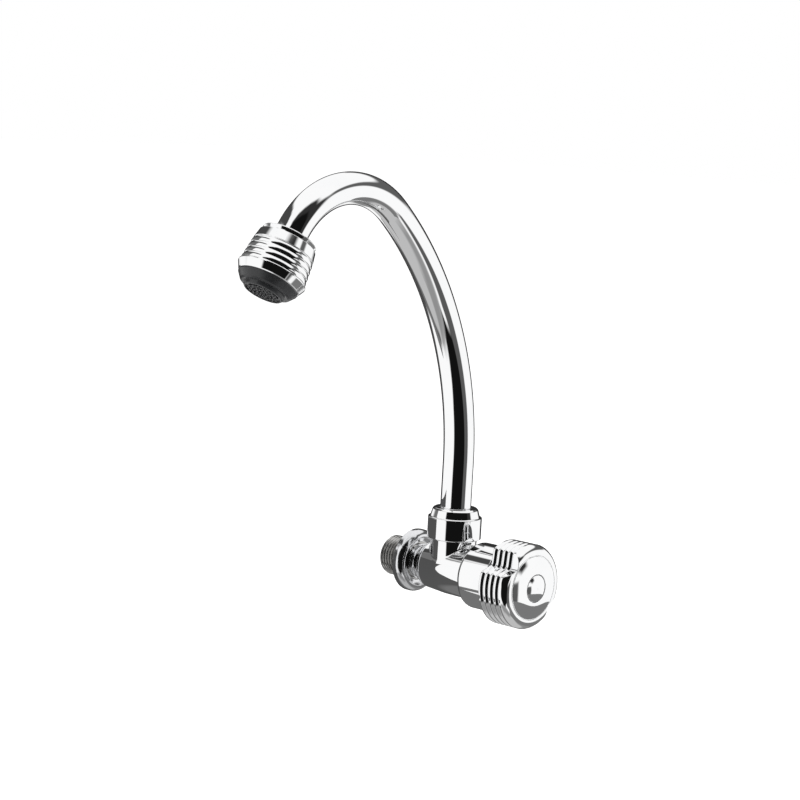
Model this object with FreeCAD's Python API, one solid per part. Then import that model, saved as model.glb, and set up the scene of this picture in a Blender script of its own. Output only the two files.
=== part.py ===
import FreeCAD, Part
import math
import os

from FreeCAD import Placement, Rotation, Vector

# Wall-mounted swan-neck kitchen tap, one cold-water valve and an aimable spray nozzle.
# Millimetres. The origin is where the inlet axis meets the wall, +Y goes into the wall,
# +Z is up, the spout points along -X and the knob faces -Y.
# Stations along the inlet axis are distances in front of the wall, so y = -station.

# Inlet tail and wall flange
thread_radius = 10.478          # G1/2 male thread, crest
thread_length = 15.5            # reaches into the wall
thread_lead_in = 1.2            # bevel at the tip of the thread
inlet_bore = 5.5
tail_spigot_radius = 7.6        # the tail screws into the body with this end
tail_spigot_length = 8.3
tail_hex_flats = 11.8           # hexagon key socket inside the tail
tail_hex_depth = 6.0
flange_seat_radius = 10.0       # the flange is pressed on the tail here
flange_radius = 16.4
flange_ridge_radius = 12.9
flange_depth = 5.7
flange_dish = 1.5               # how far the flange's middle lies behind its ridge
flange_wall = 1.6
flange_hollow = 1.6             # how much deeper than a round cove the dish is
flange_back_dish = 0.5          # the back follows this share of the dish
flange_rim_wall = 2.2
flange_rim = 1.8                # where the rounded shoulder starts
flange_edge = 0.7

# Body
neck_inset = 0.7                # the neck stands in this far from the flange seat
neck_radius = flange_seat_radius - neck_inset
neck_length = 4.0
flare_length = 6.5
flare_radius = 12.3
flare_middle = 0.42             # where along the flare its curve is half way out
flare_bulge = 0.1
barrel_radius_at_riser = 13.3
barrel_radius = 13.5
barrel_front = 50.0
riser_station = 27.0
boss_radius = 11.85
boss_shoulder = 15.6            # height of the bare boss above the barrel's axis
boss_fillet = 1.2
boss_thread_radius = 11.4
boss_top = 24.0
chamber_radius = 10.2
chamber_start = 16.0
cap_thread_radius = 10.5        # the headwork screws into this bore
cap_thread_length = 14.0

# Renewable seat
seat_radius = 8.0
seat_rear = 13.0
seat_face = 17.0
seat_lip_width = 1.2
seat_shoulder = 16.2            # where the seat starts to taper to its lip

# Headwork
gasket_thickness = 1.0
gasket_radius = 13.0
gasket_hole = 10.7
nose_front = 33.0               # the rear end of the headwork, in the chamber
nose_radius = 9.6
hex_flats = 24.0
hex_length = 5.0
hex_bevel = 1.0
sleeve_thread_radius = 9.5
sleeve_thread_end = 60.5
headwork_top_radius = 8.0
headwork_top = 62.5
gland_radius = 5.0
guide_radius = 7.0
guide_flat = 6.0                # half the distance between the guide's two flats
guide_end = 43.9

# Spindle
running_gap = 0.05              # radial gap of every shaft that turns in its bore
sliding_gap = 0.1
end_gap = 0.1
spindle_tail_radius = 4.0
spindle_tail_start = 31.5
spindle_tail_bevel = 0.6
thrust_radius = 5.8
thrust_length = 2.5
oring_section = 1.6
oring_groove = 1.2              # groove width over ring section
oring_squeeze = 0.04            # drawn this much thinner, just clear of its walls
spindle_oring_stations = (50.5, 54.5)
clip_thickness = 0.9
clip_radius = 6.6
clip_slot = 3.2                 # width of the clip's open side
spindle_neck_end = 65.5
spline_radius = 4.0
spline_root_radius = 3.5
spline_teeth = 20
spline_end = 75.5
spline_tip = 0.6
spline_groove = 0.5
screw_radius = 1.9
screw_depth = 9.0

# Jumper and washer
jumper_disc_radius = 7.6
jumper_disc_thickness = 2.0
jumper_front = 38.5
jumper_hole_rear = 26.0
washer_radius = 7.0
washer_thickness = 3.0
washer_screw_head_radius = 3.2
washer_screw_head = 1.6
washer_screw_shank = 1.9
washer_screw_end = 24.5
washer_screw_bevel = 0.5
washer_screw_slot = 0.8         # as wide as it is deep

# Sleeve that covers the headwork
sleeve_radius = 17.0
sleeve_wall = 1.6
sleeve_rear = 44.5
sleeve_front = 63.5
sleeve_rounding = 2.6
sleeve_gap = 0.3                # round the barrel
sleeve_web_rear = 57.0
sleeve_web_thickness = 2.5
sleeve_edge = 0.4
sleeve_lip = 0.6                # from the hole to where the inside opens out

# Knob
knob_rear = 64.0
knob_radius = 21.7
notch_angles = (141.5, -38.5)   # seen from the front, anticlockwise from +X
notch_root = 16.8               # distance from the axis to the bottom of a notch
notch_root_rounding = 2.6
notch_lip_rounding = 2.4
notch_wall_angle = 58.5         # between a notch's wall and its middle line
rib_count = 4
rib_pitch = 3.3
rib_width = 1.9
rib_height = 1.1
rib_bevel = 0.6
cap_side_start = 77.2
cap_side_end = 78.6
crease_radius = 16.5
crease_station = 81.8
crease_width = 0.5
crease_depth = 0.35
dome_root = 1.0                 # how deep the dome starts inside the cap
dome_step = 0.2                 # height of the dome's edge over the crease
dome_middle = 0.62
dome_bulge = 0.6
recess_radius = 7.2
recess_station = 83.8
recess_taper = 0.3
recess_depth = 1.3
skirt_cavity_radius = 13.2
skirt_cavity_end = 74.0
hub_radius = 8.2
hub_rear = 66.5
bush_radius = 5.8
bush_collar_radius = 6.8
bush_collar = 1.5
bush_depth = 0.5                # the bush ends this far in front of the spline
screw_head_radius = 3.6
screw_head_length = 2.6
screw_head_edge = 0.8
screw_head_rounding = 1.0
screw_head_lift = 1.5           # from the spindle's end to the screw's head
screw_cross = 1.0               # width of the cross slots
screw_cross_depth = 1.2
screw_cross_length = 4.0
screw_play = 0.2
screw_end_play = 1.0
screw_well_radius = 4.6
button_radius = 6.8
button_side = 1.2               # height of its plain edge
button_crown = 1.3
button_stem_radius = 4.5
button_stem = 2.4
button_seat = recess_station - recess_depth

# Spout nut, foot and seals
nut_radius = 13.9
nut_bottom = 16.3
nut_step = 27.4
nut_edge = 0.5
collar_base_radius = 12.9
collar_top_radius = 11.8
collar_top = 32.1
collar_bevel = 0.8
pipe_gap = 0.35                 # round the pipe where it leaves the nut
foot_flange_radius = 11.0
foot_flange_thickness = 1.9
foot_bottom = 9.8
foot_bevel = 0.5
foot_bore = 5.6
boss_bore = 9.0
pipe_end_height = 17.0          # the pipe stands in the foot from this height
spout_oring_heights = (12.0, 15.2)
spout_oring_section = 1.8
glide_ring_thickness = 0.9

# Spout pipe
pipe_radius = 8.0
pipe_wall = 1.0
straight_top = 54.9             # height where the first bend starts
long_bend_radius = 171.5
long_bend_angle = 49.0
short_bend_radius = 45.2
short_bend_angle = 99.5

# Nozzle, measured along its own axis from the centre of the ball
ball_radius = 10.5
ball_beyond_bend = 9.8          # from the end of the bend to the ball's centre
ball_bore = 4.8
ball_stem_length = 5.0
ball_stem_play = 0.5            # lets the straight stem into the bent pipe
ball_foot_radius = 5.9          # the ball's flat outlet face
nozzle_top = -8.0
nozzle_opening = 10.5
nozzle_mouth = 11.3
shoulder_height = 1.8
shoulder_inner_radius = 12.6
shoulder_radius = 14.1
shell_start_radius = 15.3
shell_end_radius = 16.5
shell_groove_start = -0.1
shell_groove_pitch = 2.95
shell_groove_count = 5
shell_groove_depth = 0.35
shell_crest = 0.1
band_radius = 17.1
band_rounding = 0.6
band_taper_start = 12.6
nozzle_rim_radius = 15.4
nozzle_rim = 16.3
nozzle_rim_bevel = 0.4
socket_gap = 0.1                # between the ball, its seat ring and the shell
seat_ring_thickness = 1.3
seat_ring_from = 68.0           # degrees from the nozzle's inlet side
seat_ring_to = 86.0
shell_bore = 12.0
ball_seal_radius = 9.3
ball_seal_section = 2.6
ball_seal_gap = 0.05
retainer_wall_top = 5.6
retainer_floor = 2.0
retainer_bore = 7.4
strainer_thickness = 1.0
strainer_hole = 0.9
strainer_ring_radii = (0.0, 2.9, 5.6, 8.3)
strainer_hole_counts = (1, 6, 12, 18)
insert_thread_radius = 12.0
insert_flange_radius = 15.0
insert_flange_edge = 0.7
insert_shoulder = 19.9
insert_shoulder_radius = 12.8
insert_ledge = 20.5
insert_ledge_radius = 11.7
insert_boss_radius = 10.3
insert_top = 22.4
insert_top_radius = 9.9
insert_top_edge = 0.4
insert_chamber = 8.6
insert_lip = 1.0
spray_plate_radius = 8.9
spray_plate_thickness = 2.2
spray_hole = 0.8
spray_pip_height = 0.7
spray_pip_radius = 1.25
spray_ring_radii = (0.0, 3.4, 6.5)
spray_hole_counts = (1, 7, 14)

# Derived places
barrel_thread_start = barrel_front - cap_thread_length
tail_shoulder = flange_depth - flange_dish
gasket_front = barrel_front + gasket_thickness
hex_front = gasket_front + hex_length
nut_shoulder = boss_top + end_gap + foot_flange_thickness + end_gap + glide_ring_thickness
turned_angle = long_bend_angle + short_bend_angle
nozzle_lean = 180.0 - turned_angle


def chain(start, steps):
    """A closed face from points; a step with two points is an arc through the first."""
    edges = []
    here = start
    for step in list(steps) + [start]:
        if isinstance(step[0], Vector):
            edges.append(Part.Arc(here, step[0], step[1]).toShape())
            here = step[1]
        elif (step - here).Length > 1e-6:
            edges.append(Part.LineSegment(here, step).toShape())
            here = step
    return Part.Face(Part.Wire(edges))


def as_vectors(points, place):
    """Turn (along, radius) pairs, and pairs of pairs for arcs, into vectors."""
    result = []
    for point in points:
        if isinstance(point[0], tuple):
            result.append((place(*point[0]), place(*point[1])))
        else:
            result.append(place(*point))
    return result


def turned_on_inlet(points):
    """A solid turned about the inlet axis from (station, radius) points."""
    outline = as_vectors(points, lambda station, radius: Vector(radius, -station, 0))
    return chain(outline[0], outline[1:]).revolve(Vector(0, 0, 0), Vector(0, 1, 0), 360)


def turned_on_riser(points):
    """A solid turned about the riser axis from (height, radius) points."""
    outline = as_vectors(points, lambda height, radius: Vector(radius, -riser_station, height))
    face = chain(outline[0], outline[1:])
    return face.revolve(Vector(0, -riser_station, 0), Vector(0, 0, 1), 360)


def turned_on_nozzle(points):
    """A solid turned about the nozzle axis from (distance, radius) points."""
    outline = as_vectors(points, lambda along, radius: Vector(radius, 0, along))
    solid = chain(outline[0], outline[1:]).revolve(Vector(0, 0, 0), Vector(0, 0, 1), 360)
    return on_nozzle(solid)


def tube_on_inlet(start, end, outer, inner):
    return turned_on_inlet([(start, inner), (end, inner), (end, outer), (start, outer)])


def rod_on_inlet(start, end, radius):
    return Part.makeCylinder(radius, end - start, Vector(0, -start, 0), Vector(0, -1, 0))


def ring_on_inlet(station, middle_radius, section):
    return Part.makeTorus(middle_radius, section / 2, Vector(0, -station, 0), Vector(0, 1, 0))


def hexagon_on_inlet(start, end, flats):
    """A hexagonal bar along the inlet axis with two corners up and down."""
    reach = flats / 2 / math.cos(math.pi / 6)
    corners = []
    for turn in range(6):
        angle = math.pi / 2 + turn * math.pi / 3
        corners.append(Vector(reach * math.cos(angle), -start, reach * math.sin(angle)))
    face = Part.Face(Part.makePolygon(corners + corners[:1]))
    return face.extrude(Vector(0, start - end, 0))


def on_nozzle(solid):
    """Carry a solid from the nozzle's own axis to the end of the spout."""
    placed = solid.copy()
    lean = Rotation(Vector(0, 1, 0), 180 + nozzle_lean)
    placed.Placement = Placement(ball_centre(), lean).multiply(placed.Placement)
    return placed


def on_bend(centre, radius, angle):
    """A (reach, height) place on a bend, by the angle turned from straight up."""
    return (centre[0] - radius * math.cos(angle), centre[1] + radius * math.sin(angle))


def spout_points():
    """The bends of the spout: places and headings along the centre line."""
    first = math.radians(long_bend_angle)
    second = math.radians(turned_angle)
    middle = math.radians(long_bend_angle / 2)
    half = math.radians(long_bend_angle + short_bend_angle / 2)
    start = (0.0, straight_top)
    long_centre = (long_bend_radius, straight_top)
    joint = on_bend(long_centre, long_bend_radius, first)
    short_centre = (joint[0] + short_bend_radius * math.cos(first),
                    joint[1] - short_bend_radius * math.sin(first))
    on_long = on_bend(long_centre, long_bend_radius, middle)
    on_short = on_bend(short_centre, short_bend_radius, half)
    return start, on_long, joint, on_short, on_bend(short_centre, short_bend_radius, second)


def spout_place(reach, height):
    return Vector(-reach, -riser_station, height)


def nozzle_direction():
    lean = math.radians(nozzle_lean)
    return Vector(-math.sin(lean), 0, -math.cos(lean))


def ball_centre():
    end = spout_points()[-1]
    return spout_place(*end) + nozzle_direction() * ball_beyond_bend


def spout_wire(foot_height, beyond):
    """The spout's centre line from a height on the riser to a point past the last bend."""
    start, on_long, joint, on_short, end = [spout_place(*point) for point in spout_points()]
    foot = Vector(0, -riser_station, foot_height)
    tip = end + nozzle_direction() * beyond
    return Part.Wire([
        Part.LineSegment(foot, start).toShape(),
        Part.Arc(start, on_long, joint).toShape(),
        Part.Arc(joint, on_short, end).toShape(),
        Part.LineSegment(end, tip).toShape(),
    ])


def swept_rod(radius, foot_height, beyond):
    wire = spout_wire(foot_height, beyond)
    circle = Part.Circle(Vector(0, -riser_station, foot_height), Vector(0, 0, 1), radius)
    section = Part.Wire(circle.toShape())
    return wire.makePipeShell([section], True, False)


def rings_of_rods(ring_radii, counts, rod_radius, start, end):
    """Round rods along the nozzle axis, standing in rings: holes or pips of a plate."""
    rods = []
    for ring_radius, count in zip(ring_radii, counts):
        for index in range(count):
            angle = 2 * math.pi * index / count
            place = Vector(ring_radius * math.cos(angle), ring_radius * math.sin(angle), start)
            rods.append(Part.makeCylinder(rod_radius, end - start, place, Vector(0, 0, 1)))
    return rods


def inlet_tail():
    """Threaded tail: thread behind the wall line, flange seat, spigot in the body."""
    solid = turned_on_inlet([
        (-thread_length, inlet_bore),
        (tail_shoulder + tail_spigot_length, inlet_bore),
        (tail_shoulder + tail_spigot_length, tail_spigot_radius),
        (tail_shoulder, tail_spigot_radius),
        (tail_shoulder, flange_seat_radius),
        (0, flange_seat_radius),
        (0, thread_radius),
        (thread_lead_in - thread_length, thread_radius),
        (-thread_length, thread_radius - thread_lead_in),
    ])
    key = hexagon_on_inlet(-thread_length, tail_hex_depth - thread_length, tail_hex_flats)
    return solid.cut(key)


def wall_flange():
    """Turned flange: rounded outside, dished in front, hollow at the back."""
    middle = flange_depth - flange_dish
    rise = flange_depth - flange_rim
    reach = flange_radius - flange_ridge_radius
    bulge = math.sqrt(0.5)
    corner = flange_edge * (1 - bulge)
    return turned_on_inlet([
        (0, flange_seat_radius),
        (middle, flange_seat_radius),
        (middle, flange_ridge_radius - flange_dish),
        ((middle + flange_dish * bulge, flange_ridge_radius - flange_dish * (1 - bulge) * flange_hollow),
         (flange_depth, flange_ridge_radius)),
        ((flange_rim + rise * bulge, flange_ridge_radius + reach * bulge),
         (flange_rim, flange_radius)),
        (flange_edge, flange_radius),
        ((corner, flange_radius - corner), (0, flange_radius - flange_edge)),
        (0, flange_radius - flange_rim_wall),
        (middle - flange_wall, flange_ridge_radius - flange_dish * flange_back_dish),
        (middle - flange_wall, flange_seat_radius + flange_wall),
        (0, flange_seat_radius + flange_wall),
    ])


def boss_meets_barrel(edge):
    """Whether an edge is the saddle-shaped seam at the foot of the spout boss."""
    box = edge.BoundBox
    middle = abs(box.ZMin + box.ZMax) / 2
    return 0 < middle < barrel_radius and box.XLength > boss_radius and box.ZLength < boss_radius


def tap_body():
    """Cast body: neck, flared barrel and the boss that carries the spout."""
    flare_start = tail_shoulder + neck_length
    flare_end = flare_start + flare_length
    barrel = turned_on_inlet([
        (tail_shoulder, 0),
        (tail_shoulder, neck_radius),
        (flare_start, neck_radius),
        ((flare_start + flare_length * flare_middle, (neck_radius + flare_radius) / 2 + flare_bulge),
         (flare_end, flare_radius)),
        (riser_station, barrel_radius_at_riser),
        (sleeve_rear, barrel_radius),
        (barrel_front, barrel_radius),
        (barrel_front, 0),
    ])
    boss = turned_on_riser([
        (0, 0),
        (0, boss_radius),
        (boss_shoulder, boss_radius),
        (boss_shoulder, boss_thread_radius),
        (boss_top, boss_thread_radius),
        (boss_top, 0),
    ])
    solid = barrel.fuse(boss).removeSplitter()
    seam = [edge for edge in solid.Edges if boss_meets_barrel(edge)]
    solid = solid.makeFillet(boss_fillet, seam)
    hollow = rod_on_inlet(tail_shoulder, tail_shoulder + tail_spigot_length, tail_spigot_radius)
    hollow = hollow.fuse([
        rod_on_inlet(tail_shoulder, seat_rear, inlet_bore),
        rod_on_inlet(seat_rear, chamber_start, seat_radius),
        rod_on_inlet(chamber_start, barrel_thread_start, chamber_radius),
        rod_on_inlet(barrel_thread_start, barrel_front, cap_thread_radius),
        turned_on_riser([(0, 0), (0, boss_bore), (boss_top, boss_bore), (boss_top, 0)]),
    ])
    return solid.cut(hollow)


def valve_seat():
    """Screwed-in seat ring with a narrow raised lip that the washer closes on."""
    lip_outside = inlet_bore + seat_lip_width
    return turned_on_inlet([
        (seat_rear, inlet_bore),
        (seat_face, inlet_bore),
        (seat_face, lip_outside),
        (seat_shoulder, seat_radius),
        (seat_rear, seat_radius),
    ])


def headwork_gasket():
    return tube_on_inlet(barrel_front, gasket_front, gasket_radius, gasket_hole)


def headwork_body():
    """Screwed cap that carries the spindle: nose, hexagon, sleeve thread and gland."""
    turned = turned_on_inlet([
        (nose_front, 0),
        (nose_front, nose_radius),
        (barrel_thread_start, nose_radius),
        (barrel_thread_start, cap_thread_radius),
        (gasket_front, cap_thread_radius),
        (hex_front, cap_thread_radius),
        (hex_front, sleeve_thread_radius),
        (sleeve_thread_end, sleeve_thread_radius),
        (sleeve_thread_end, headwork_top_radius),
        (headwork_top, headwork_top_radius),
        (headwork_top, 0),
    ])
    corners = hexagon_on_inlet(gasket_front, hex_front, hex_flats)
    rounded = turned_on_inlet([
        (gasket_front, 0),
        (gasket_front, hex_flats / 2),
        (gasket_front + hex_bevel, hex_flats / 2 / math.cos(math.pi / 6)),
        (hex_front - hex_bevel, hex_flats / 2 / math.cos(math.pi / 6)),
        (hex_front, hex_flats / 2),
        (hex_front, 0),
    ])
    solid = turned.fuse(corners.common(rounded)).removeSplitter()
    guide = rod_on_inlet(nose_front, guide_end, guide_radius)
    flats = Part.makeBox(2 * guide_flat, guide_end - nose_front, 2 * guide_radius,
                         Vector(-guide_flat, -guide_end, -guide_radius))
    thrust_pocket = rod_on_inlet(guide_end, spindle_shoulder() + end_gap, thrust_radius + sliding_gap)
    gland = rod_on_inlet(guide_end, headwork_top, gland_radius + running_gap)
    return solid.cut(guide.common(flats).fuse([thrust_pocket, gland]))


def spindle_shoulder():
    return guide_end + end_gap + thrust_length


def spindle():
    """Non-rising spindle: thread tail, thrust collar, gland with two grooves, spline."""
    thrust_rear = guide_end + end_gap
    groove_root = gland_radius + running_gap - oring_section
    points = [
        (spindle_tail_start, 0),
        (spindle_tail_start, spindle_tail_radius - spindle_tail_bevel),
        (spindle_tail_start + spindle_tail_bevel, spindle_tail_radius),
        (thrust_rear, spindle_tail_radius),
        (thrust_rear, thrust_radius),
        (spindle_shoulder(), thrust_radius),
        (spindle_shoulder(), gland_radius),
    ]
    for station in spindle_oring_stations:
        points += [
            (station - oring_section * oring_groove / 2, gland_radius),
            (station - oring_section * oring_groove / 2, groove_root),
            (station + oring_section * oring_groove / 2, groove_root),
            (station + oring_section * oring_groove / 2, gland_radius),
        ]
    clip_rear = headwork_top + end_gap
    points += [
        (clip_rear, gland_radius),
        (clip_rear, spline_radius),
        (clip_rear + clip_thickness, spline_radius),
        (clip_rear + clip_thickness, gland_radius),
        (spindle_neck_end, gland_radius),
        (spindle_neck_end, spline_radius),
        (spline_end - spline_tip, spline_radius),
        (spline_end, spline_root_radius),
        (spline_end, 0),
    ]
    solid = turned_on_inlet(points)
    tapped = rod_on_inlet(spline_end - screw_depth, spline_end, screw_radius)
    grooves = []
    depth = spline_radius - spline_root_radius
    for tooth in range(spline_teeth):
        cutter = Part.makeBox(depth * 2, spline_end - spindle_neck_end, spline_groove,
                              Vector(spline_root_radius, -spline_end, -spline_groove / 2))
        cutter.rotate(Vector(0, 0, 0), Vector(0, 1, 0), 360.0 * tooth / spline_teeth)
        grooves.append(cutter)
    return solid.cut([tapped] + grooves)


def spindle_orings():
    middle = gland_radius + running_gap - oring_section / 2 - oring_squeeze / 4
    return Part.makeCompound([
        ring_on_inlet(station, middle, oring_section - oring_squeeze) for station in spindle_oring_stations
    ])


def spindle_clip():
    """Open spring clip in the spindle's groove, in front of the headwork."""
    rear = headwork_top + end_gap
    ring = tube_on_inlet(rear, rear + clip_thickness, clip_radius, spline_radius)
    opening = Part.makeBox(clip_slot, clip_thickness, clip_radius + end_gap,
                           Vector(-clip_slot / 2, -rear - clip_thickness, -clip_radius - end_gap))
    return ring.cut(opening)


def valve_jumper():
    """Sliding carrier of the washer, held from turning by two flats."""
    disc_rear = washer_rear() + washer_thickness
    disc_front = disc_rear + jumper_disc_thickness
    disc = rod_on_inlet(disc_rear, disc_front, jumper_disc_radius)
    stem = rod_on_inlet(disc_front, jumper_front, guide_radius - sliding_gap)
    half = guide_flat - sliding_gap
    flats = Part.makeBox(2 * half, jumper_front - disc_front, 2 * guide_radius,
                         Vector(-half, -jumper_front, -guide_radius))
    solid = disc.fuse(stem.common(flats)).removeSplitter()
    hole = rod_on_inlet(jumper_hole_rear, jumper_front, spindle_tail_radius + running_gap)
    screw_hole = rod_on_inlet(disc_rear, washer_screw_end, washer_screw_shank)
    return solid.cut([hole, screw_hole])


def washer_rear():
    return seat_face + end_gap


def seat_washer():
    return tube_on_inlet(washer_rear(), washer_rear() + washer_thickness, washer_radius, washer_screw_shank)


def washer_screw():
    head_rear = washer_rear() - washer_screw_head
    solid = turned_on_inlet([
        (head_rear, 0),
        (head_rear, washer_screw_head_radius - washer_screw_bevel),
        (head_rear + washer_screw_bevel, washer_screw_head_radius),
        (washer_rear(), washer_screw_head_radius),
        (washer_rear(), washer_screw_shank),
        (washer_screw_end, washer_screw_shank),
        (washer_screw_end, 0),
    ])
    wide = washer_screw_slot
    slot = Part.makeBox(wide, wide, 2 * washer_screw_head_radius,
                        Vector(-wide / 2, -head_rear - wide, -washer_screw_head_radius))
    return solid.cut(slot)


def bonnet_sleeve():
    """Bright sleeve over the headwork, screwed on by its inner web."""
    inside = sleeve_radius - sleeve_wall
    hole = barrel_radius + sleeve_gap
    bend = sleeve_rounding * (1 - math.sqrt(0.5))
    web_front = sleeve_web_rear + sleeve_web_thickness
    return turned_on_inlet([
        (sleeve_rear, hole),
        (sleeve_rear, sleeve_radius - sleeve_rounding),
        ((sleeve_rear + bend, sleeve_radius - bend),
         (sleeve_rear + sleeve_rounding, sleeve_radius)),
        (sleeve_front - sleeve_edge, sleeve_radius),
        (sleeve_front, sleeve_radius - sleeve_edge),
        (sleeve_front, inside),
        (web_front, inside),
        (web_front, sleeve_thread_radius),
        (sleeve_web_rear, sleeve_thread_radius),
        (sleeve_web_rear, inside),
        (sleeve_rear + sleeve_rounding, inside),
        (sleeve_rear + sleeve_wall, hole + sleeve_lip),
    ])


def knob_face(inset, station):
    """The knob's notched outline, drawn in by inset, as a face across the axis."""
    outer = knob_radius - inset
    wall = math.radians(notch_wall_angle)
    root_rounding = notch_root_rounding + inset
    lip = notch_lip_rounding - inset
    apex = notch_root - notch_root_rounding * (1 / math.sin(wall) - 1) - inset / math.sin(wall)
    lip_angle = wall + math.asin((lip - apex * math.sin(wall)) / (outer - lip))
    into = (-math.sin(wall), math.cos(wall))
    lip_centre = ((outer - lip) * math.cos(lip_angle), (outer - lip) * math.sin(lip_angle))
    root_centre = (apex + root_rounding / math.sin(wall), 0.0)
    lip_start = (outer * math.cos(lip_angle), outer * math.sin(lip_angle))
    lip_end = (lip_centre[0] - lip * into[0], lip_centre[1] - lip * into[1])
    lip_turn = (lip_angle + math.atan2(-into[1], -into[0])) / 2
    lip_middle = (lip_centre[0] + lip * math.cos(lip_turn), lip_centre[1] + lip * math.sin(lip_turn))
    root_start = (root_centre[0] + root_rounding * into[0], root_centre[1] + root_rounding * into[1])
    root_middle = (root_centre[0] - root_rounding, 0.0)

    def high(point, turn):
        x = point[0] * math.cos(turn) - point[1] * math.sin(turn)
        z = point[0] * math.sin(turn) + point[1] * math.cos(turn)
        return Vector(x, -station, z)

    def low(point, turn):
        return high((point[0], -point[1]), turn)

    edges = []
    turns = [math.radians(angle) for angle in sorted(notch_angles, reverse=True)]
    for index, turn in enumerate(turns):
        following = turns[(index + 1) % len(turns)]
        if index == len(turns) - 1:
            following -= 2 * math.pi
        root_end = low(root_start, turn)
        edges += [
            Part.Arc(high(lip_start, turn), high(lip_middle, turn), high(lip_end, turn)).toShape(),
            Part.LineSegment(high(lip_end, turn), high(root_start, turn)).toShape(),
            Part.Arc(high(root_start, turn), high(root_middle, turn), root_end).toShape(),
            Part.LineSegment(root_end, low(lip_end, turn)).toShape(),
            Part.Arc(low(lip_end, turn), low(lip_middle, turn), low(lip_start, turn)).toShape(),
        ]
        half_way = (turn + following) / 2
        over = Vector(outer * math.cos(half_way), -station, outer * math.sin(half_way))
        edges.append(Part.Arc(low(lip_start, turn), over, high(lip_start, following)).toShape())
    return Part.Face(Part.Wire(edges))


def knob_slab(start, end, inset):
    return knob_face(inset, start).extrude(Vector(0, start - end, 0))


def knob_rib(start):
    """One rib that follows the notched outline, with both edges bevelled."""
    end = start + rib_width
    wires = [
        knob_face(rib_bevel, start).OuterWire,
        knob_face(0, start + rib_bevel).OuterWire,
        knob_face(0, end - rib_bevel).OuterWire,
        knob_face(rib_bevel, end).OuterWire,
    ]
    return Part.makeLoft(wires, True, True)


def handle_knob():
    """Ribbed knob with two finger notches, a rounded cap and a creased dome."""
    core = knob_slab(knob_rear + rib_bevel, cap_side_start + rib_bevel, rib_height)
    ribs = [knob_rib(knob_rear + index * rib_pitch) for index in range(rib_count)]
    rounding = crease_station - cap_side_end
    reach = knob_radius - crease_radius
    bulge = math.sqrt(0.5)
    cap = turned_on_inlet([
        (cap_side_start, 0),
        (cap_side_start, knob_radius - rib_bevel),
        (cap_side_start + rib_bevel, knob_radius),
        (cap_side_end, knob_radius),
        ((cap_side_end + rounding * bulge, crease_radius + reach * bulge),
         (crease_station, crease_radius)),
        (crease_station, 0),
    ])
    cap = cap.common(knob_slab(cap_side_start, crease_station, 0))
    dome_rise = recess_station - crease_station
    dome = turned_on_inlet([
        (crease_station - dome_root, 0),
        (crease_station - dome_root, crease_radius - crease_width),
        (crease_station + dome_step, crease_radius - crease_width),
        ((crease_station + dome_rise * dome_middle, (crease_radius + recess_radius) / 2 + dome_bulge),
         (recess_station, recess_radius)),
        (button_seat, recess_radius - recess_taper),
        (button_seat, 0),
    ])
    crease = tube_on_inlet(crease_station - crease_depth, crease_station,
                           crease_radius, crease_radius - crease_width)
    solid = core.fuse(ribs + [cap.cut(crease), dome]).removeSplitter()
    cavity = tube_on_inlet(knob_rear, skirt_cavity_end, skirt_cavity_radius, hub_radius)
    behind_hub = rod_on_inlet(knob_rear, hub_rear, skirt_cavity_radius)
    bush_hole = rod_on_inlet(hub_rear, spline_end + bush_depth, bush_radius)
    collar_seat = rod_on_inlet(hub_rear, hub_rear + bush_collar, bush_collar_radius)
    screw_hole = rod_on_inlet(spline_end, screw_head_rear(), screw_radius + screw_play)
    screw_well = rod_on_inlet(screw_head_rear(), button_seat, screw_well_radius)
    return solid.cut([cavity, behind_hub, bush_hole, collar_seat, screw_hole, screw_well])


def screw_head_rear():
    return spline_end + screw_head_lift


def spline_bush():
    """Brass bush pressed into the knob's hub, broached to fit the spindle."""
    return turned_on_inlet([
        (hub_rear, spline_radius + running_gap),
        (spline_end + bush_depth, spline_radius + running_gap),
        (spline_end + bush_depth, bush_radius),
        (hub_rear + bush_collar, bush_radius),
        (hub_rear + bush_collar, bush_collar_radius),
        (hub_rear, bush_collar_radius),
    ])


def handle_screw():
    head = screw_head_rear()
    solid = turned_on_inlet([
        (spline_end - screw_depth + screw_end_play, 0),
        (spline_end - screw_depth + screw_end_play, screw_radius),
        (head, screw_radius),
        (head, screw_head_radius),
        (head + screw_head_length - screw_head_edge, screw_head_radius),
        (head + screw_head_length, screw_head_radius - screw_head_rounding),
        (head + screw_head_length, 0),
    ])
    slots = []
    for turn in (0, 90):
        corner = Vector(-screw_cross / 2, -head - screw_head_length, -screw_cross_length / 2)
        slot = Part.makeBox(screw_cross, screw_cross_depth, screw_cross_length, corner)
        slot.rotate(Vector(0, 0, 0), Vector(0, 1, 0), turn)
        slots.append(slot)
    return solid.cut(slots)


def crown(edge, radius, height):
    """The rest of a domed outline: a middle point and the top, on a sphere about the axis."""
    sphere = (radius ** 2 + height ** 2) / (2 * height)
    half = math.asin(radius / sphere) / 2
    centre = edge + height - sphere
    return (centre + sphere * math.cos(half), sphere * math.sin(half)), (edge + height, 0)


def index_button():
    """Domed plug that hides the screw, standing in the dome's round recess."""
    edge = button_seat + button_side
    return turned_on_inlet([
        (button_seat - button_stem, 0),
        (button_seat - button_stem, button_stem_radius),
        (button_seat, button_stem_radius),
        (button_seat, button_radius),
        (edge, button_radius),
        crown(edge, button_radius, button_crown),
    ])


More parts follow.
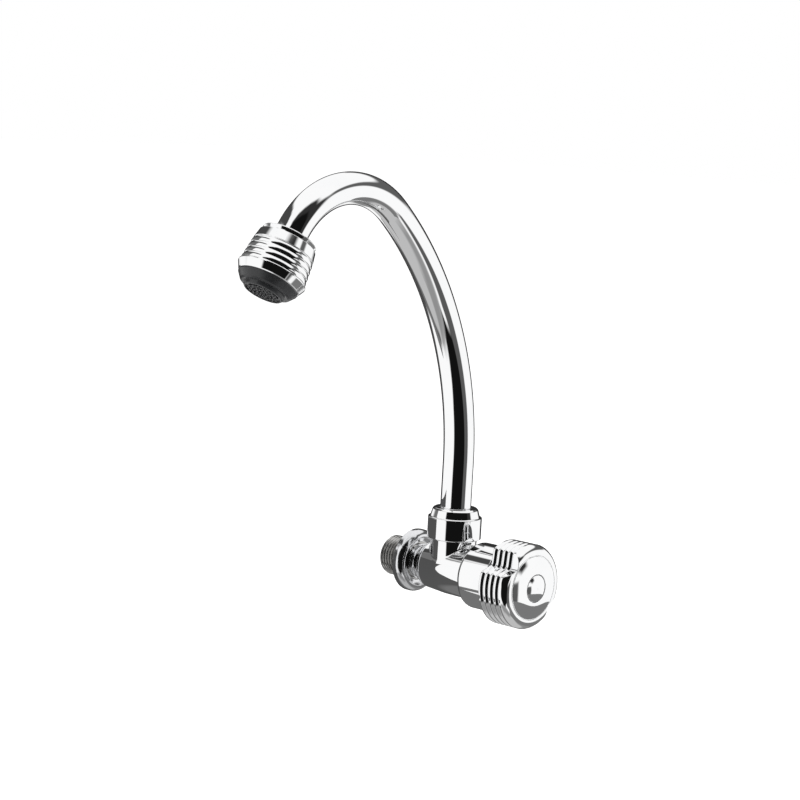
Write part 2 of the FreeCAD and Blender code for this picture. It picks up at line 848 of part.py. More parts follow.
def spout_nut():
    """Nut that holds the spout: plain skirt, step, tapered collar with a bevelled rim."""
    return turned_on_riser([
        (nut_bottom, boss_thread_radius),
        (nut_bottom, nut_radius - nut_edge),
        (nut_bottom + nut_edge, nut_radius),
        (nut_step - nut_edge, nut_radius),
        (nut_step, nut_radius - nut_edge),
        (nut_step, collar_base_radius),
        (collar_top - collar_bevel, collar_top_radius),
        (collar_top, collar_top_radius - collar_bevel),
        (collar_top, pipe_radius + pipe_gap),
        (nut_shoulder, pipe_radius + pipe_gap),
        (nut_shoulder, boss_thread_radius),
    ])


def glide_ring():
    bottom = nut_shoulder - glide_ring_thickness
    return turned_on_riser([
        (bottom, pipe_radius + pipe_gap),
        (nut_shoulder, pipe_radius + pipe_gap),
        (nut_shoulder, foot_flange_radius),
        (bottom, foot_flange_radius),
    ])


def spout_foot():
    """Foot brazed on the pipe: flange under the nut and a grooved spigot in the boss."""
    spigot = boss_bore - running_gap
    flange_bottom = boss_top + end_gap
    flange_top = flange_bottom + foot_flange_thickness
    groove_root = boss_bore - spout_oring_section
    half = spout_oring_section * oring_groove / 2
    points = [
        (foot_bottom, foot_bore),
        (pipe_end_height, foot_bore),
        (pipe_end_height, pipe_radius),
        (flange_top, pipe_radius),
        (flange_top, foot_flange_radius),
        (flange_bottom, foot_flange_radius),
        (flange_bottom, spigot),
    ]
    for height in sorted(spout_oring_heights, reverse=True):
        points += [
            (height + half, spigot),
            (height + half, groove_root),
            (height - half, groove_root),
            (height - half, spigot),
        ]
    points += [(foot_bottom + foot_bevel, spigot), (foot_bottom, spigot - foot_bevel)]
    return turned_on_riser(points)


def spout_orings():
    middle = boss_bore - spout_oring_section / 2 - oring_squeeze / 4
    axis = Vector(0, 0, 1)
    rings = []
    for height in spout_oring_heights:
        centre = Vector(0, -riser_station, height)
        rings.append(Part.makeTorus(middle, (spout_oring_section - oring_squeeze) / 2, centre, axis))
    return Part.makeCompound(rings)


def ball_meets_pipe():
    """Height above the ball's centre where the pipe's outside meets the ball."""
    return math.sqrt(ball_radius ** 2 - pipe_radius ** 2)


def spout_pipe():
    beyond = ball_beyond_bend - ball_meets_pipe()
    outside = swept_rod(pipe_radius, pipe_end_height, beyond)
    inside = swept_rod(pipe_radius - pipe_wall, pipe_end_height, beyond)
    return outside.cut(inside)


def swivel_ball():
    """Ball at the end of the pipe: stem brazed inside the pipe, bored through."""
    meets = ball_meets_pipe()
    stem = pipe_radius - pipe_wall - ball_stem_play
    foot_height = math.sqrt(ball_radius ** 2 - ball_foot_radius ** 2)
    return turned_on_nozzle([
        (-meets - ball_stem_length, ball_bore),
        (foot_height, ball_bore),
        (foot_height, ball_foot_radius),
        ((0, ball_radius), (-meets, pipe_radius)),
        (-meets, stem),
        (-meets - ball_stem_length, stem),
    ])


def polar(radius, degrees):
    """A point on a sphere about the ball's centre, from the inlet side."""
    return (-radius * math.cos(math.radians(degrees)), radius * math.sin(math.radians(degrees)))


def ball_seat_ring():
    """Plastic ring between the ball and the shell, round on both faces."""
    inner = ball_radius + socket_gap
    outer = inner + seat_ring_thickness
    middle = (seat_ring_from + seat_ring_to) / 2
    return turned_on_nozzle([
        polar(inner, seat_ring_from),
        (polar(inner, middle), polar(inner, seat_ring_to)),
        polar(outer, seat_ring_to),
        (polar(outer, middle), polar(outer, seat_ring_from)),
    ])


def socket_radius():
    return ball_radius + seat_ring_thickness + 2 * socket_gap


def nozzle_shell():
    """Grooved shell with a round socket for the ball and a plain band at its rim."""
    socket = socket_radius()
    opening_angle = math.degrees(math.asin(nozzle_opening / socket))
    last_groove = shell_groove_start + (shell_groove_count - 1) * shell_groove_pitch
    slope = (shell_end_radius - shell_start_radius) / (last_groove - shell_groove_start)
    valleys = []
    for index in range(shell_groove_count):
        along = index * shell_groove_pitch
        valleys.append((shell_groove_start + along, shell_start_radius + slope * along - shell_groove_depth))
    bulge = math.sqrt(0.5)
    points = [
        (nozzle_rim, shell_bore),
        (0, shell_bore),
        (0, socket),
        (polar(socket, (90 + opening_angle) / 2), polar(socket, opening_angle)),
        (nozzle_top, nozzle_mouth),
        (nozzle_top, shoulder_inner_radius),
        ((nozzle_top + shoulder_height * (1 - bulge),
          shoulder_inner_radius + (shoulder_radius - shoulder_inner_radius) * bulge),
         (nozzle_top + shoulder_height, shoulder_radius)),
        (shell_groove_start - shell_groove_depth, shell_start_radius),
        valleys[0],
    ]
    for before, after in zip(valleys, valleys[1:]):
        middle = ((before[0] + after[0]) / 2,
                  (before[1] + after[1]) / 2 + shell_groove_depth + shell_crest)
        points.append((middle, after))
    corner = band_rounding * (1 - bulge)
    points += [
        (last_groove, band_radius - band_rounding),
        ((last_groove + corner, band_radius - corner), (last_groove + band_rounding, band_radius)),
        (band_taper_start, band_radius),
        (nozzle_rim - nozzle_rim_bevel, nozzle_rim_radius),
        (nozzle_rim, nozzle_rim_radius - nozzle_rim_bevel),
    ]
    return turned_on_nozzle(points)


def seal_height():
    """How far the ball seal's middle lies below the ball's centre."""
    reach = ball_radius + ball_seal_section / 2 + ball_seal_gap
    return math.sqrt(reach ** 2 - ball_seal_radius ** 2)


def ball_seal():
    centre = Vector(0, 0, seal_height())
    ring = Part.makeTorus(ball_seal_radius, ball_seal_section / 2, centre, Vector(0, 0, 1))
    return on_nozzle(ring)


def retainer_top():
    return seal_height() + ball_seal_section / 2


def seal_retainer():
    """Ring screwed into the shell that carries the ball seal in a corner."""
    corner = ball_seal_radius + ball_seal_section / 2
    return turned_on_nozzle([
        (retainer_top(), retainer_bore),
        (retainer_top(), corner),
        (retainer_wall_top, corner),
        (retainer_wall_top, shell_bore),
        (retainer_top() + retainer_floor, shell_bore),
        (retainer_top() + retainer_floor, retainer_bore),
    ])


def strainer_top():
    return retainer_top() + retainer_floor


def strainer_disc():
    """Perforated disc that lies between the retainer and the spray insert."""
    disc = Part.makeCylinder(shell_bore, strainer_thickness, Vector(0, 0, strainer_top()))
    holes = rings_of_rods(strainer_ring_radii, strainer_hole_counts, strainer_hole,
                          strainer_top(), strainer_top() + strainer_thickness)
    return on_nozzle(disc.cut(holes))


def spray_insert():
    """Dark insert: threaded sleeve, tapered flange on the shell's rim, stepped face."""
    start = strainer_top() + strainer_thickness
    plate_rear = insert_top - spray_plate_thickness
    return turned_on_nozzle([
        (start, insert_chamber),
        (start, insert_thread_radius),
        (nozzle_rim, insert_thread_radius),
        (nozzle_rim, insert_flange_radius),
        (nozzle_rim + insert_flange_edge, insert_flange_radius),
        (insert_shoulder, insert_shoulder_radius),
        (insert_ledge, insert_ledge_radius),
        (insert_ledge, insert_boss_radius),
        (insert_top - insert_top_edge, insert_top_radius),
        (insert_top, insert_top_radius - insert_top_edge),
        (insert_top, spray_plate_radius),
        (plate_rear, spray_plate_radius),
        (plate_rear, insert_chamber - insert_lip),
        (plate_rear - insert_lip, insert_chamber - insert_lip),
        (plate_rear - insert_lip, insert_chamber),
    ])


def spray_plate():
    """Face plate with raised pips, one round each spray hole."""
    rear = insert_top - spray_plate_thickness
    front = insert_top - spray_pip_height
    disc = Part.makeCylinder(spray_plate_radius, front - rear, Vector(0, 0, rear))
    rings = (spray_ring_radii, spray_hole_counts)
    pips = rings_of_rods(*rings, spray_pip_radius, front, insert_top)
    holes = rings_of_rods(*rings, spray_hole, rear, insert_top)
    return on_nozzle(disc.fuse(pips).removeSplitter().cut(holes))


def build_parts():
    return {
        "inlet_tail": inlet_tail(),
        "wall_flange": wall_flange(),
        "tap_body": tap_body(),
        "valve_seat": valve_seat(),
        "headwork_gasket": headwork_gasket(),
        "headwork_body": headwork_body(),
        "bonnet_sleeve": bonnet_sleeve(),
        "spindle": spindle(),
        "spindle_orings": spindle_orings(),
        "spindle_clip": spindle_clip(),
        "spline_bush": spline_bush(),
        "handle_knob": handle_knob(),
        "handle_screw": handle_screw(),
        "index_button": index_button(),
        "valve_jumper": valve_jumper(),
        "seat_washer": seat_washer(),
        "washer_screw": washer_screw(),
        "spout_nut": spout_nut(),
        "glide_ring": glide_ring(),
        "spout_foot": spout_foot(),
        "spout_orings": spout_orings(),
        "spout_pipe": spout_pipe(),
        "swivel_ball": swivel_ball(),
        "ball_seat_ring": ball_seat_ring(),
        "nozzle_shell": nozzle_shell(),
        "ball_seal": ball_seal(),
        "seal_retainer": seal_retainer(),
        "strainer_disc": strainer_disc(),
        "spray_insert": spray_insert(),
        "spray_plate": spray_plate(),
    }


os.makedirs("parts", exist_ok=True)
for name, shape in build_parts().items():
    shape.exportStep("parts/" + name + ".step")
    box = shape.BoundBox
    print(name, "solids", len(shape.Solids), "valid", shape.isValid(), "volume", round(shape.Volume, 1),
          "from", [round(value, 2) for value in (box.XMin, box.YMin, box.ZMin)],
          "to", [round(value, 2) for value in (box.XMax, box.YMax, box.ZMax)])
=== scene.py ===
# %% [markdown]
# # A wall-mounted swan-neck tap
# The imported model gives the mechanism: every piece, its place and what it moves with.
# This file gives the looks. It builds the plated pieces again as smooth meshes with true
# normals, because chrome is judged by the lines it reflects, and it writes every finish
# as a procedural material. Everything is in metres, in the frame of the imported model.

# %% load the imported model
import cmath
import math

import bpy
import numpy as np
from mathutils import Matrix, Vector


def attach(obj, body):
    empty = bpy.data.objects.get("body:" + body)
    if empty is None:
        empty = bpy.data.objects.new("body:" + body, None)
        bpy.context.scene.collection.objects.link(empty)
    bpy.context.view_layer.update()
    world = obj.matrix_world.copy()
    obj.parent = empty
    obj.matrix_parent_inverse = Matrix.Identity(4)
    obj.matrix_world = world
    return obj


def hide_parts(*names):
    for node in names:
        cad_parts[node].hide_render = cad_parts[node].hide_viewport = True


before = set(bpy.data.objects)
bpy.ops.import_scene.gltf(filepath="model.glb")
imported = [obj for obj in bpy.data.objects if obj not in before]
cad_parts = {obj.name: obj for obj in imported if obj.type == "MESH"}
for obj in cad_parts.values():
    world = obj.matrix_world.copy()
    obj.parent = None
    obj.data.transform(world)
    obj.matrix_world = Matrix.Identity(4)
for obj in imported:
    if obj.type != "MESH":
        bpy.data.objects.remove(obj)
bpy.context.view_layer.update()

# %% [markdown]
# ## Camera
# The photograph was taken from the left of the knob, a little above the tap. The camera
# could be placed by eye, but a view that is turned a degree too far puts every reflection
# in the wrong place. So the angles and the distance come from known circles and tubes of
# the real object, and the aim is moved sideways and down until the frame matches.

# %% camera
VIEW_AZIMUTH = math.radians(-47.118)
VIEW_ELEVATION = math.radians(7.588)
VIEW_ROLL = math.radians(3.186)
VIEW_DISTANCE = 1.2003
AIM = Vector((0.0, -0.027, 0.0))
AIM_RIGHT = 0.026849            # the frame's middle, measured from AIM
AIM_UP = -0.08695
SENSOR_WIDTH = 36.0             # millimetres, as the lens
LENS_LENGTH = 104.56

level_right = Vector((math.cos(VIEW_AZIMUTH), math.sin(VIEW_AZIMUTH), 0.0))
backward = Vector((math.sin(VIEW_AZIMUTH) * math.cos(VIEW_ELEVATION),
                   -math.cos(VIEW_AZIMUTH) * math.cos(VIEW_ELEVATION),
                   math.sin(VIEW_ELEVATION)))
level_up = backward.cross(level_right)
camera_right = math.cos(VIEW_ROLL) * level_right + math.sin(VIEW_ROLL) * level_up
camera_up = math.cos(VIEW_ROLL) * level_up - math.sin(VIEW_ROLL) * level_right
camera_place = AIM + backward * VIEW_DISTANCE - camera_right * AIM_RIGHT - camera_up * AIM_UP

camera_data = bpy.data.cameras.new("photo_camera")
camera_data.sensor_fit = "HORIZONTAL"
camera_data.sensor_width = SENSOR_WIDTH
camera_data.lens = LENS_LENGTH
camera_data.clip_start = 0.05
camera_data.clip_end = 40.0
camera = bpy.data.objects.new("photo_camera", camera_data)
bpy.context.scene.collection.objects.link(camera)
axes = Matrix((camera_right, camera_up, backward)).transposed().to_4x4()
camera.matrix_world = Matrix.Translation(camera_place) @ axes
bpy.context.scene.camera = camera
print("camera at", [round(value, 4) for value in camera_place])

# %% [markdown]
# ## Studio
# The tap was photographed on plain white. A pale floor under soft, even light keeps its
# shadow faint. A white plane behind the tap would have to be moved with every view, so
# here camera, mirror and glass rays meet a plain white world, and all others a dimmer one.

# %% helpers for the studio
scene = bpy.context.scene
scene.view_settings.view_transform = "Standard"


def nodes_of(owner):
    """Start an empty node tree and return its nodes and a short way to link them."""
    owner.use_nodes = True
    tree = owner.node_tree
    tree.nodes.clear()
    return tree.nodes, tree.links.new


def background_rays(nodes, link):
    """1 for rays that should meet a plain white background, else 0."""
    path = nodes.new("ShaderNodeLightPath")
    total = nodes.new("ShaderNodeMath")
    total.operation = "MAXIMUM"
    link(path.outputs["Is Camera Ray"], total.inputs[0])
    link(path.outputs["Is Glossy Ray"], total.inputs[1])
    both = nodes.new("ShaderNodeMath")
    both.operation = "MAXIMUM"
    link(total.outputs[0], both.inputs[0])
    link(path.outputs["Is Transmission Ray"], both.inputs[1])
    return both.outputs[0]


# %% world
ROOM_LIGHT = 0.75
WHITE = (1.0, 1.0, 1.0, 1.0)

world = bpy.data.worlds.new("studio")
scene.world = world
nodes, link = nodes_of(world)
room = nodes.new("ShaderNodeBackground")
room.inputs["Color"].default_value = WHITE
room.inputs["Strength"].default_value = ROOM_LIGHT
white = nodes.new("ShaderNodeBackground")
white.inputs["Color"].default_value = WHITE
white.inputs["Strength"].default_value = 1.0
choose = nodes.new("ShaderNodeMixShader")
link(background_rays(nodes, link), choose.inputs["Fac"])
link(room.outputs[0], choose.inputs[1])
link(white.outputs[0], choose.inputs[2])
world_out = nodes.new("ShaderNodeOutputWorld")
link(choose.outputs[0], world_out.inputs["Surface"])
print("world", world.name, "room light", ROOM_LIGHT)


# %% paper floor
def mesh_object(name, points, faces):
    """A new object from plain lists, shaded smooth."""
    mesh = bpy.data.meshes.new(name)
    mesh.from_pydata(points, [], faces)
    mesh.update()
    mesh.polygons.foreach_set("use_smooth", [True] * len(mesh.polygons))
    piece = bpy.data.objects.new(name, mesh)
    scene.collection.objects.link(piece)
    return piece


FLOOR_HEIGHT = -0.24
FLOOR_REACH = 12.0
PAPER = (0.93, 0.93, 0.93, 1.0)
PAPER_GLOW = 0.42               # lifts the paper to white for the camera, shadow kept

floor = mesh_object(
    "floor",
    [(x * FLOOR_REACH, y * FLOOR_REACH, FLOOR_HEIGHT)
     for x, y in ((-1, -1), (1, -1), (1, 1), (-1, 1))],
    [(0, 1, 2, 3)])
floor.visible_glossy = False
paper = bpy.data.materials.new("pale_paper")
nodes, link = nodes_of(paper)
matt = nodes.new("ShaderNodeBsdfDiffuse")
matt.inputs["Color"].default_value = PAPER
glow = nodes.new("ShaderNodeEmission")
glow.inputs["Strength"].default_value = PAPER_GLOW
lift = nodes.new("ShaderNodeAddShader")
link(matt.outputs[0], lift.inputs[0])
link(glow.outputs[0], lift.inputs[1])
seen = nodes.new("ShaderNodeMixShader")
link(background_rays(nodes, link), seen.inputs["Fac"])
link(matt.outputs[0], seen.inputs[1])
link(lift.outputs[0], seen.inputs[2])
paper_out = nodes.new("ShaderNodeOutputMaterial")
link(seen.outputs[0], paper_out.inputs["Surface"])
floor.data.materials.append(paper)
print("floor at", FLOOR_HEIGHT)

# %% soft lamps
LAMP_AIM = Vector((-0.05, -0.03, 0.08))


def lamp(name, place, size, power):
    """A square soft lamp that looks at the tap and isn't mirrored in the chrome."""
    data = bpy.data.lights.new(name, "AREA")
    data.size = size
    data.energy = power
    item = bpy.data.objects.new(name, data)
    item.location = place
    item.rotation_euler = (LAMP_AIM - Vector(place)).to_track_quat("-Z", "Y").to_euler()
    item.visible_glossy = False
    scene.collection.objects.link(item)
    print(name, power, "watts")


lamp("high_lamp", (-0.4, -1.0, 2.0), 1.4, 22.0)
lamp("right_lamp", (1.6, -1.2, 0.9), 1.2, 12.0)

# %% [markdown]
# ## A tent for the chrome
# Chrome has no colour of its own: it shows the room. A picture of a room could be used,
# but a photographer would rather stand the tap in a white tent with dark and grey panels
# on it, and move them until the stripes on the tap are right. Here the tent is a large
# sphere. Each panel is a polygon of (turn, rise) angles as seen from the tap, where turn 0
# is the camera's side. Only mirror rays see the tent, so it doesn't dim the other finishes.

# %% tent and its panels
TENT_RADIUS = 2.5
toward_camera = Vector((backward.x, backward.y, 0.0)).normalized()
TENT_CENTRE = Vector((-0.03, -0.03, 0.08))

PANELS = (
    # name, shade, edge softness in degrees, corners
    ("floor", 0.52, 2.0, ((-185, -44), (185, -44), (185, -95), (-185, -95))),
    ("floor_front", 0.29, 9.0, ((-48, -44), (60, -44), (40, -64), (-30, -64))),
    ("floor_right", 0.25, 5.0, (
        (66, -33), (122, -42), (190, -26), (190, -56), (90, -54), (66, -46))),
    ("dark_skirt_left", 0.07, 2.5, (
        (-175, -3), (-137, -3), (-129, -20), (-126, -33), (-105, -41), (-60, -43),
        (-60, -47), (-110, -46.5), (-138, -41), (-158, -28), (-175, -15))),
    ("grey_behind_left", 0.16, 3.0, (
        (-190, 18), (-160, 18), (-130, 28), (-108, 36), (-96, 36), (-96, 4), (-190, 4))),
    ("dark_beam_left", 0.06, 3.0, (
        (-168, 6), (-160, 20), (-140, 35), (-118, 49), (-100, 56), (-72, 58), (-58, 52),
        (-62, 46), (-90, 42), (-112, 34), (-130, 25), (-150, 12))),
    ("grey_door", 0.1, 3.0, (
        (38, -8), (50, -5), (68, -5), (70, -14), (73, -30), (60, -36), (36, -36))),
    ("dark_beam", 0.03, 5.0, (
        (-18, 52), (0, 59), (22, 59), (42, 55), (58, 47), (66, 32), (78, 24), (81, 7),
        (72, 2), (58, 10), (45, 17), (28, 26), (12, 34), (-4, 43))),
    ("grey_beam_right", 0.11, 4.0, (
        (78, 28), (100, 33), (140, 36), (190, 36), (190, 16), (140, 15), (100, 17), (78, 16))),
    ("dark_flag_right", 0.03, 6.0, ((138, 14), (165, 26), (195, 34), (195, -28), (140, -18))),
    ("dark_flag_behind", 0.03, 6.0, ((-195, 34), (-166, 26), (-150, 12), (-150, -16), (-195, -28))),
    ("dark_room", 0.006, 3.0, (
        (-39, -3), (-46, 8), (-46, 24), (-30, 42), (-14, 50), (10, 50), (30, 46), (50, 36),
        (62, 20), (60, 6), (43, -3), (41, -20), (38, -30), (24, -37), (18, -44), (-10, -44),
        (-25, -36), (-36, -26), (-38, -15))),
)


def tent_direction(turn, rise):
    """Unit vector: turn to the camera's right from the camera's own side, and rise."""
    turn = math.radians(turn)
    rise = math.radians(rise)
    level = toward_camera * math.cos(turn) + level_right * math.sin(turn)
    return level * math.cos(rise) + Vector((0.0, 0.0, math.sin(rise)))


def cover(turns, rises, corners, soft):
    """How far each direction lies inside a polygon: 1 inside, 0 outside, soft between."""
    inside = np.zeros(len(turns), dtype=bool)
    nearest = np.full(len(turns), np.inf)
    for (x0, y0), (x1, y1) in zip(corners, corners[1:] + corners[:1]):
        along = np.clip(((turns - x0) * (x1 - x0) + (rises - y0) * (y1 - y0))
                        / ((x1 - x0) ** 2 + (y1 - y0) ** 2), 0.0, 1.0)
        away = np.hypot(turns - x0 - along * (x1 - x0), rises - y0 - along * (y1 - y0))
        nearest = np.minimum(nearest, away)
        if y0 != y1:
            crosses = (rises > min(y0, y1)) & (rises <= max(y0, y1))
            inside ^= crosses & (turns < x0 + (rises - y0) * (x1 - x0) / (y1 - y0))
    signed = np.where(inside, nearest, -nearest)
    return np.clip(0.5 + signed / soft, 0.0, 1.0)


def shade_material(name):
    """Glows by the mesh's own shade attribute."""
    material = bpy.data.materials.new(name)
    nodes, link = nodes_of(material)
    shade = nodes.new("ShaderNodeAttribute")
    shade.attribute_name = "shade"
    glow = nodes.new("ShaderNodeEmission")
    link(shade.outputs["Fac"], glow.inputs["Strength"])
    out = nodes.new("ShaderNodeOutputMaterial")
    link(glow.outputs[0], out.inputs["Surface"])
    return material


tent_cloth = shade_material("tent_cloth")


def mirror_only(piece, shades):
    """Store the shades and hide a studio piece from all but mirror rays."""
    shade = piece.data.attributes.new("shade", "FLOAT", "POINT")
    shade.data.foreach_set("value", list(shades))
    piece.visible_camera = False
    piece.visible_diffuse = False
    piece.visible_transmission = False
    piece.visible_shadow = False
    piece.data.materials.append(tent_cloth)


COLUMNS, ROWS = 240, 120
turns = np.tile(np.linspace(-180.0, 180.0, COLUMNS + 1), ROWS + 1)
rises = np.repeat(np.linspace(-90.0, 90.0, ROWS + 1), COLUMNS + 1)
shades = np.ones(len(turns))
for name, shade, soft, corners in PANELS:
    part = cover(turns, rises, corners, soft)
    shades = shades * (1 - part) + shade * part
points = [TENT_CENTRE + tent_direction(turn, rise) * TENT_RADIUS
          for turn, rise in zip(turns, rises)]
faces = []
for row in range(ROWS):
    for column in range(COLUMNS):
        first = row * (COLUMNS + 1) + column
        faces.append((first, first + 1, first + COLUMNS + 2, first + COLUMNS + 1))
tent = mesh_object("tent", points, faces)
mirror_only(tent, shades)
print("tent panels", len(PANELS))

# %% [markdown]
# ## Boards near the tap
# The tent is so far off that it looks the same from every piece. In the photo some greys
# end at another height on the spout than on the knob, which only something near can do.
# Two curved boards stand low beside the tap, and one flat board behind the threaded tail,
# paler below and darker above.

# %% boards near the tap
BOARD_STEP = 3                  # degrees
BOARDS = (
    # name, shade, distance, turns, heights
    ("right_board", 0.19, 0.32, (50, 150), (-0.30, -0.115)),
    ("left_board", 0.17, 0.56, (-150, -70), (-0.42, -0.325)),
)


def board(name, shade, distance, turn_range, heights):
    """A curved upright board round the riser."""
    count = max(2, int(abs(turn_range[1] - turn_range[0]) / BOARD_STEP))
    points = []
    for index in range(count + 1):
        turn = turn_range[0] + (turn_range[1] - turn_range[0]) * index / count
        level = AIM + tent_direction(turn, 0.0) * distance
        points += [level + Vector((0.0, 0.0, height)) for height in heights]
    faces = [(2 * index, 2 * index + 2, 2 * index + 3, 2 * index + 1)
             for index in range(count)]
    mirror_only(mesh_object(name, points, faces), [shade] * len(points))


for entry in BOARDS:
    board(*entry)
BACK_Y = 0.03
BACK_SIDES = (-0.077, 0.1)
BACK_SHADES = ((-0.25, 0.18), (-0.08, 0.17), (-0.072, 0.09), (0.027, 0.08))    # (height, shade)
back_board = mesh_object(
    "back_board", [(side, BACK_Y, height) for height, shade in BACK_SHADES for side in BACK_SIDES],
    [(0, 1, 3, 2), (2, 3, 5, 4), (4, 5, 7, 6)])
mirror_only(back_board, [shade for height, shade in BACK_SHADES for side in BACK_SIDES])
print("boards", len(BOARDS) + 1)

# %% [markdown]
# ## Helpers for finishes
# Most finishes here share a few effects: fine polishing marks, soft smudges, turning
# lines left by a lathe, whose colour is a painted shade in the grooves and a painted sheen
# on the crests, and moulding grain. Each is one node group with its own inputs,
# so every material places the same effect with its own values.

# %% group helpers
def new_group(name, inputs, outputs):
    """An empty node group with float inputs (name, default) and typed outputs."""
    tree = bpy.data.node_groups.new(name, "ShaderNodeTree")
    for label, default in inputs:
        socket = tree.interface.new_socket(label, in_out="INPUT", socket_type="NodeSocketFloat")
        socket.default_value = default
    for label, kind in outputs:
        tree.interface.new_socket(label, in_out="OUTPUT", socket_type=kind)
    return tree, tree.nodes.new("NodeGroupInput"), tree.nodes.new("NodeGroupOutput")


def math_node(tree, operation, first, second):
    """A math node whose inputs are numbers or sockets."""
    node = tree.nodes.new("ShaderNodeMath")
    node.operation = operation
    for index, value in enumerate((first, second)):
        if isinstance(value, (int, float)):
            node.inputs[index].default_value = value
        else:
            tree.links.new(value, node.inputs[index])
    return node.outputs[0]


def noise_node(tree, scale, detail, roughness, stretch=(1.0, 1.0, 1.0)):
    """Noise over the piece's own coordinates, in metres."""
    place = tree.nodes.new("ShaderNodeTexCoord")
    fit = tree.nodes.new("ShaderNodeMapping")
    fit.inputs["Scale"].default_value = stretch
    tree.links.new(place.outputs["Object"], fit.inputs["Vector"])
    noise = tree.nodes.new("ShaderNodeTexNoise")
    tree.links.new(fit.outputs["Vector"], noise.inputs["Vector"])
    noise.inputs["Detail"].default_value = detail
    noise.inputs["Roughness"].default_value = roughness
    if isinstance(scale, (int, float)):
        noise.inputs["Scale"].default_value = scale
    else:
        tree.links.new(scale, noise.inputs["Scale"])
    return noise.outputs["Fac"]


def ramp_node(tree, value, low, high):
    """Map a value's range to 0 to 1, held at both ends."""
    node = tree.nodes.new("ShaderNodeMapRange")
    tree.links.new(value, node.inputs["Value"])
    for label, number in (("From Min", low), ("From Max", high)):
        node.inputs[label].default_value = number
    return node.outputs["Result"]


# %% surface effects
smudge, smudge_in, smudge_out = new_group(
    "smudged_polish",
    [("Scale", 60.0), ("Base", 0.04), ("Spread", 0.05)],
    [("Roughness", "NodeSocketFloat"), ("Mask", "NodeSocketFloat")])
cloud = ramp_node(smudge, noise_node(smudge, smudge_in.outputs["Scale"], 4.0, 0.6), 0.45, 0.75)
hair = ramp_node(smudge, noise_node(smudge, 900.0, 2.0, 0.5, (1.0, 0.08, 1.0)), 0.62, 0.75)
mask = math_node(smudge, "MAXIMUM", cloud, math_node(smudge, "MULTIPLY", hair, 0.6))
smudge.links.new(mask, smudge_out.inputs["Mask"])
rough = math_node(smudge, "ADD", smudge_in.outputs["Base"],
                  math_node(smudge, "MULTIPLY", mask, smudge_in.outputs["Spread"]))
smudge.links.new(rough, smudge_out.inputs["Roughness"])

lines, lines_in, lines_out = new_group(
    "turning_lines",
    [("Lines per Metre", 2600.0), ("Depth", 0.5)],
    [("Height", "NodeSocketFloat"), ("Mask", "NodeSocketFloat")])
place = lines.nodes.new("ShaderNodeTexCoord")
parts = lines.nodes.new("ShaderNodeSeparateXYZ")
lines.links.new(place.outputs["Object"], parts.inputs[0])
radius = math_node(lines, "SQRT", math_node(
    lines, "ADD", math_node(lines, "MULTIPLY", parts.outputs["X"], parts.outputs["X"]),
    math_node(lines, "MULTIPLY", parts.outputs["Z"], parts.outputs["Z"])), 0.0)
walk = math_node(lines, "ADD", radius, parts.outputs["Y"])
wave = math_node(lines, "SINE", math_node(lines, "MULTIPLY", walk, math_node(
    lines, "MULTIPLY", lines_in.outputs["Lines per Metre"], 2 * math.pi)), 0.0)
uneven = noise_node(lines, 240.0, 3.0, 0.5)
height = math_node(lines, "MULTIPLY", math_node(lines, "MULTIPLY", wave, uneven),
                   lines_in.outputs["Depth"])
lines.links.new(height, lines_out.inputs["Height"])
# the mask follows the relief, high on the crests and low in the grooves; it colours a painted shade
# into the grooves and a painted sheen onto the crests
lines.links.new(ramp_node(lines, height, -0.3, 0.3), lines_out.inputs["Mask"])

grain, grain_in, grain_out = new_group(
    "moulded_grain",
    [("Scale", 900.0), ("Depth", 0.5)],
    [("Height", "NodeSocketFloat"), ("Mask", "NodeSocketFloat")])
fine = noise_node(grain, grain_in.outputs["Scale"], 3.0, 0.55)
broad = noise_node(grain, 70.0, 3.0, 0.5)
grain.links.new(math_node(grain, "MULTIPLY", fine, grain_in.outputs["Depth"]),
                grain_out.inputs["Height"])
grain.links.new(ramp_node(grain, broad, 0.35, 0.7), grain_out.inputs["Mask"])
print("groups", [tree.name for tree in bpy.data.node_groups])

# %% [markdown]
# ## Finishes
# The plate is a mirror: nearly white, metallic, and with a low roughness that only rises
# in faint smudges. The flange is pressed sheet, whose thin plate is softer and greyer, and
# the thread keeps its dull nickel. The hidden pieces are turned brass, steel, rubber, fibre
# and moulded plastic, and each gets the marks of its making; on brass and steel the colour
# of the turning lines is a painted shade in their grooves and a painted sheen on their
# crests. A plain colour with one roughness would be quicker, and would look like paint.

# %% material helpers
def new_material(name):
    """A material with one Principled shader; returns it with its tree and shader."""
    material = bpy.data.materials.new(name)
    nodes, link = nodes_of(material)
    shader = nodes.new("ShaderNodeBsdfPrincipled")
    out = nodes.new("ShaderNodeOutputMaterial")
    link(shader.outputs["BSDF"], out.inputs["Surface"])
    return material, material.node_tree, shader


def use_group(tree, group, **values):
    """Place a group in a material and set its inputs; underscores stand for spaces."""
    node = tree.nodes.new("ShaderNodeGroup")
    node.node_tree = group
    for label, number in values.items():
        node.inputs[label.replace("_", " ")].default_value = number
    return node


def polished(name, metallic, scale, base, spread):
    """A material with smudged polish; returns it with its tree, shader and smudge mask."""
    material, tree, shader = new_material(name)
    shader.inputs["Metallic"].default_value = metallic
    polish = use_group(tree, smudge, Scale=scale, Base=base, Spread=spread)
    tree.links.new(polish.outputs["Roughness"], shader.inputs["Roughness"])
    return material, tree, shader, polish.outputs["Mask"]


def colour_by(tree, shader, mask, first, second):
    """Give the shader a mix of two colours by a mask."""
    node = tree.nodes.new("ShaderNodeMix")
    node.data_type = "RGBA"
    node.inputs["A"].default_value = (*first, 1.0)
    node.inputs["B"].default_value = (*second, 1.0)
    tree.links.new(mask, node.inputs["Factor"])
    tree.links.new(node.outputs["Result"], shader.inputs["Base Color"])


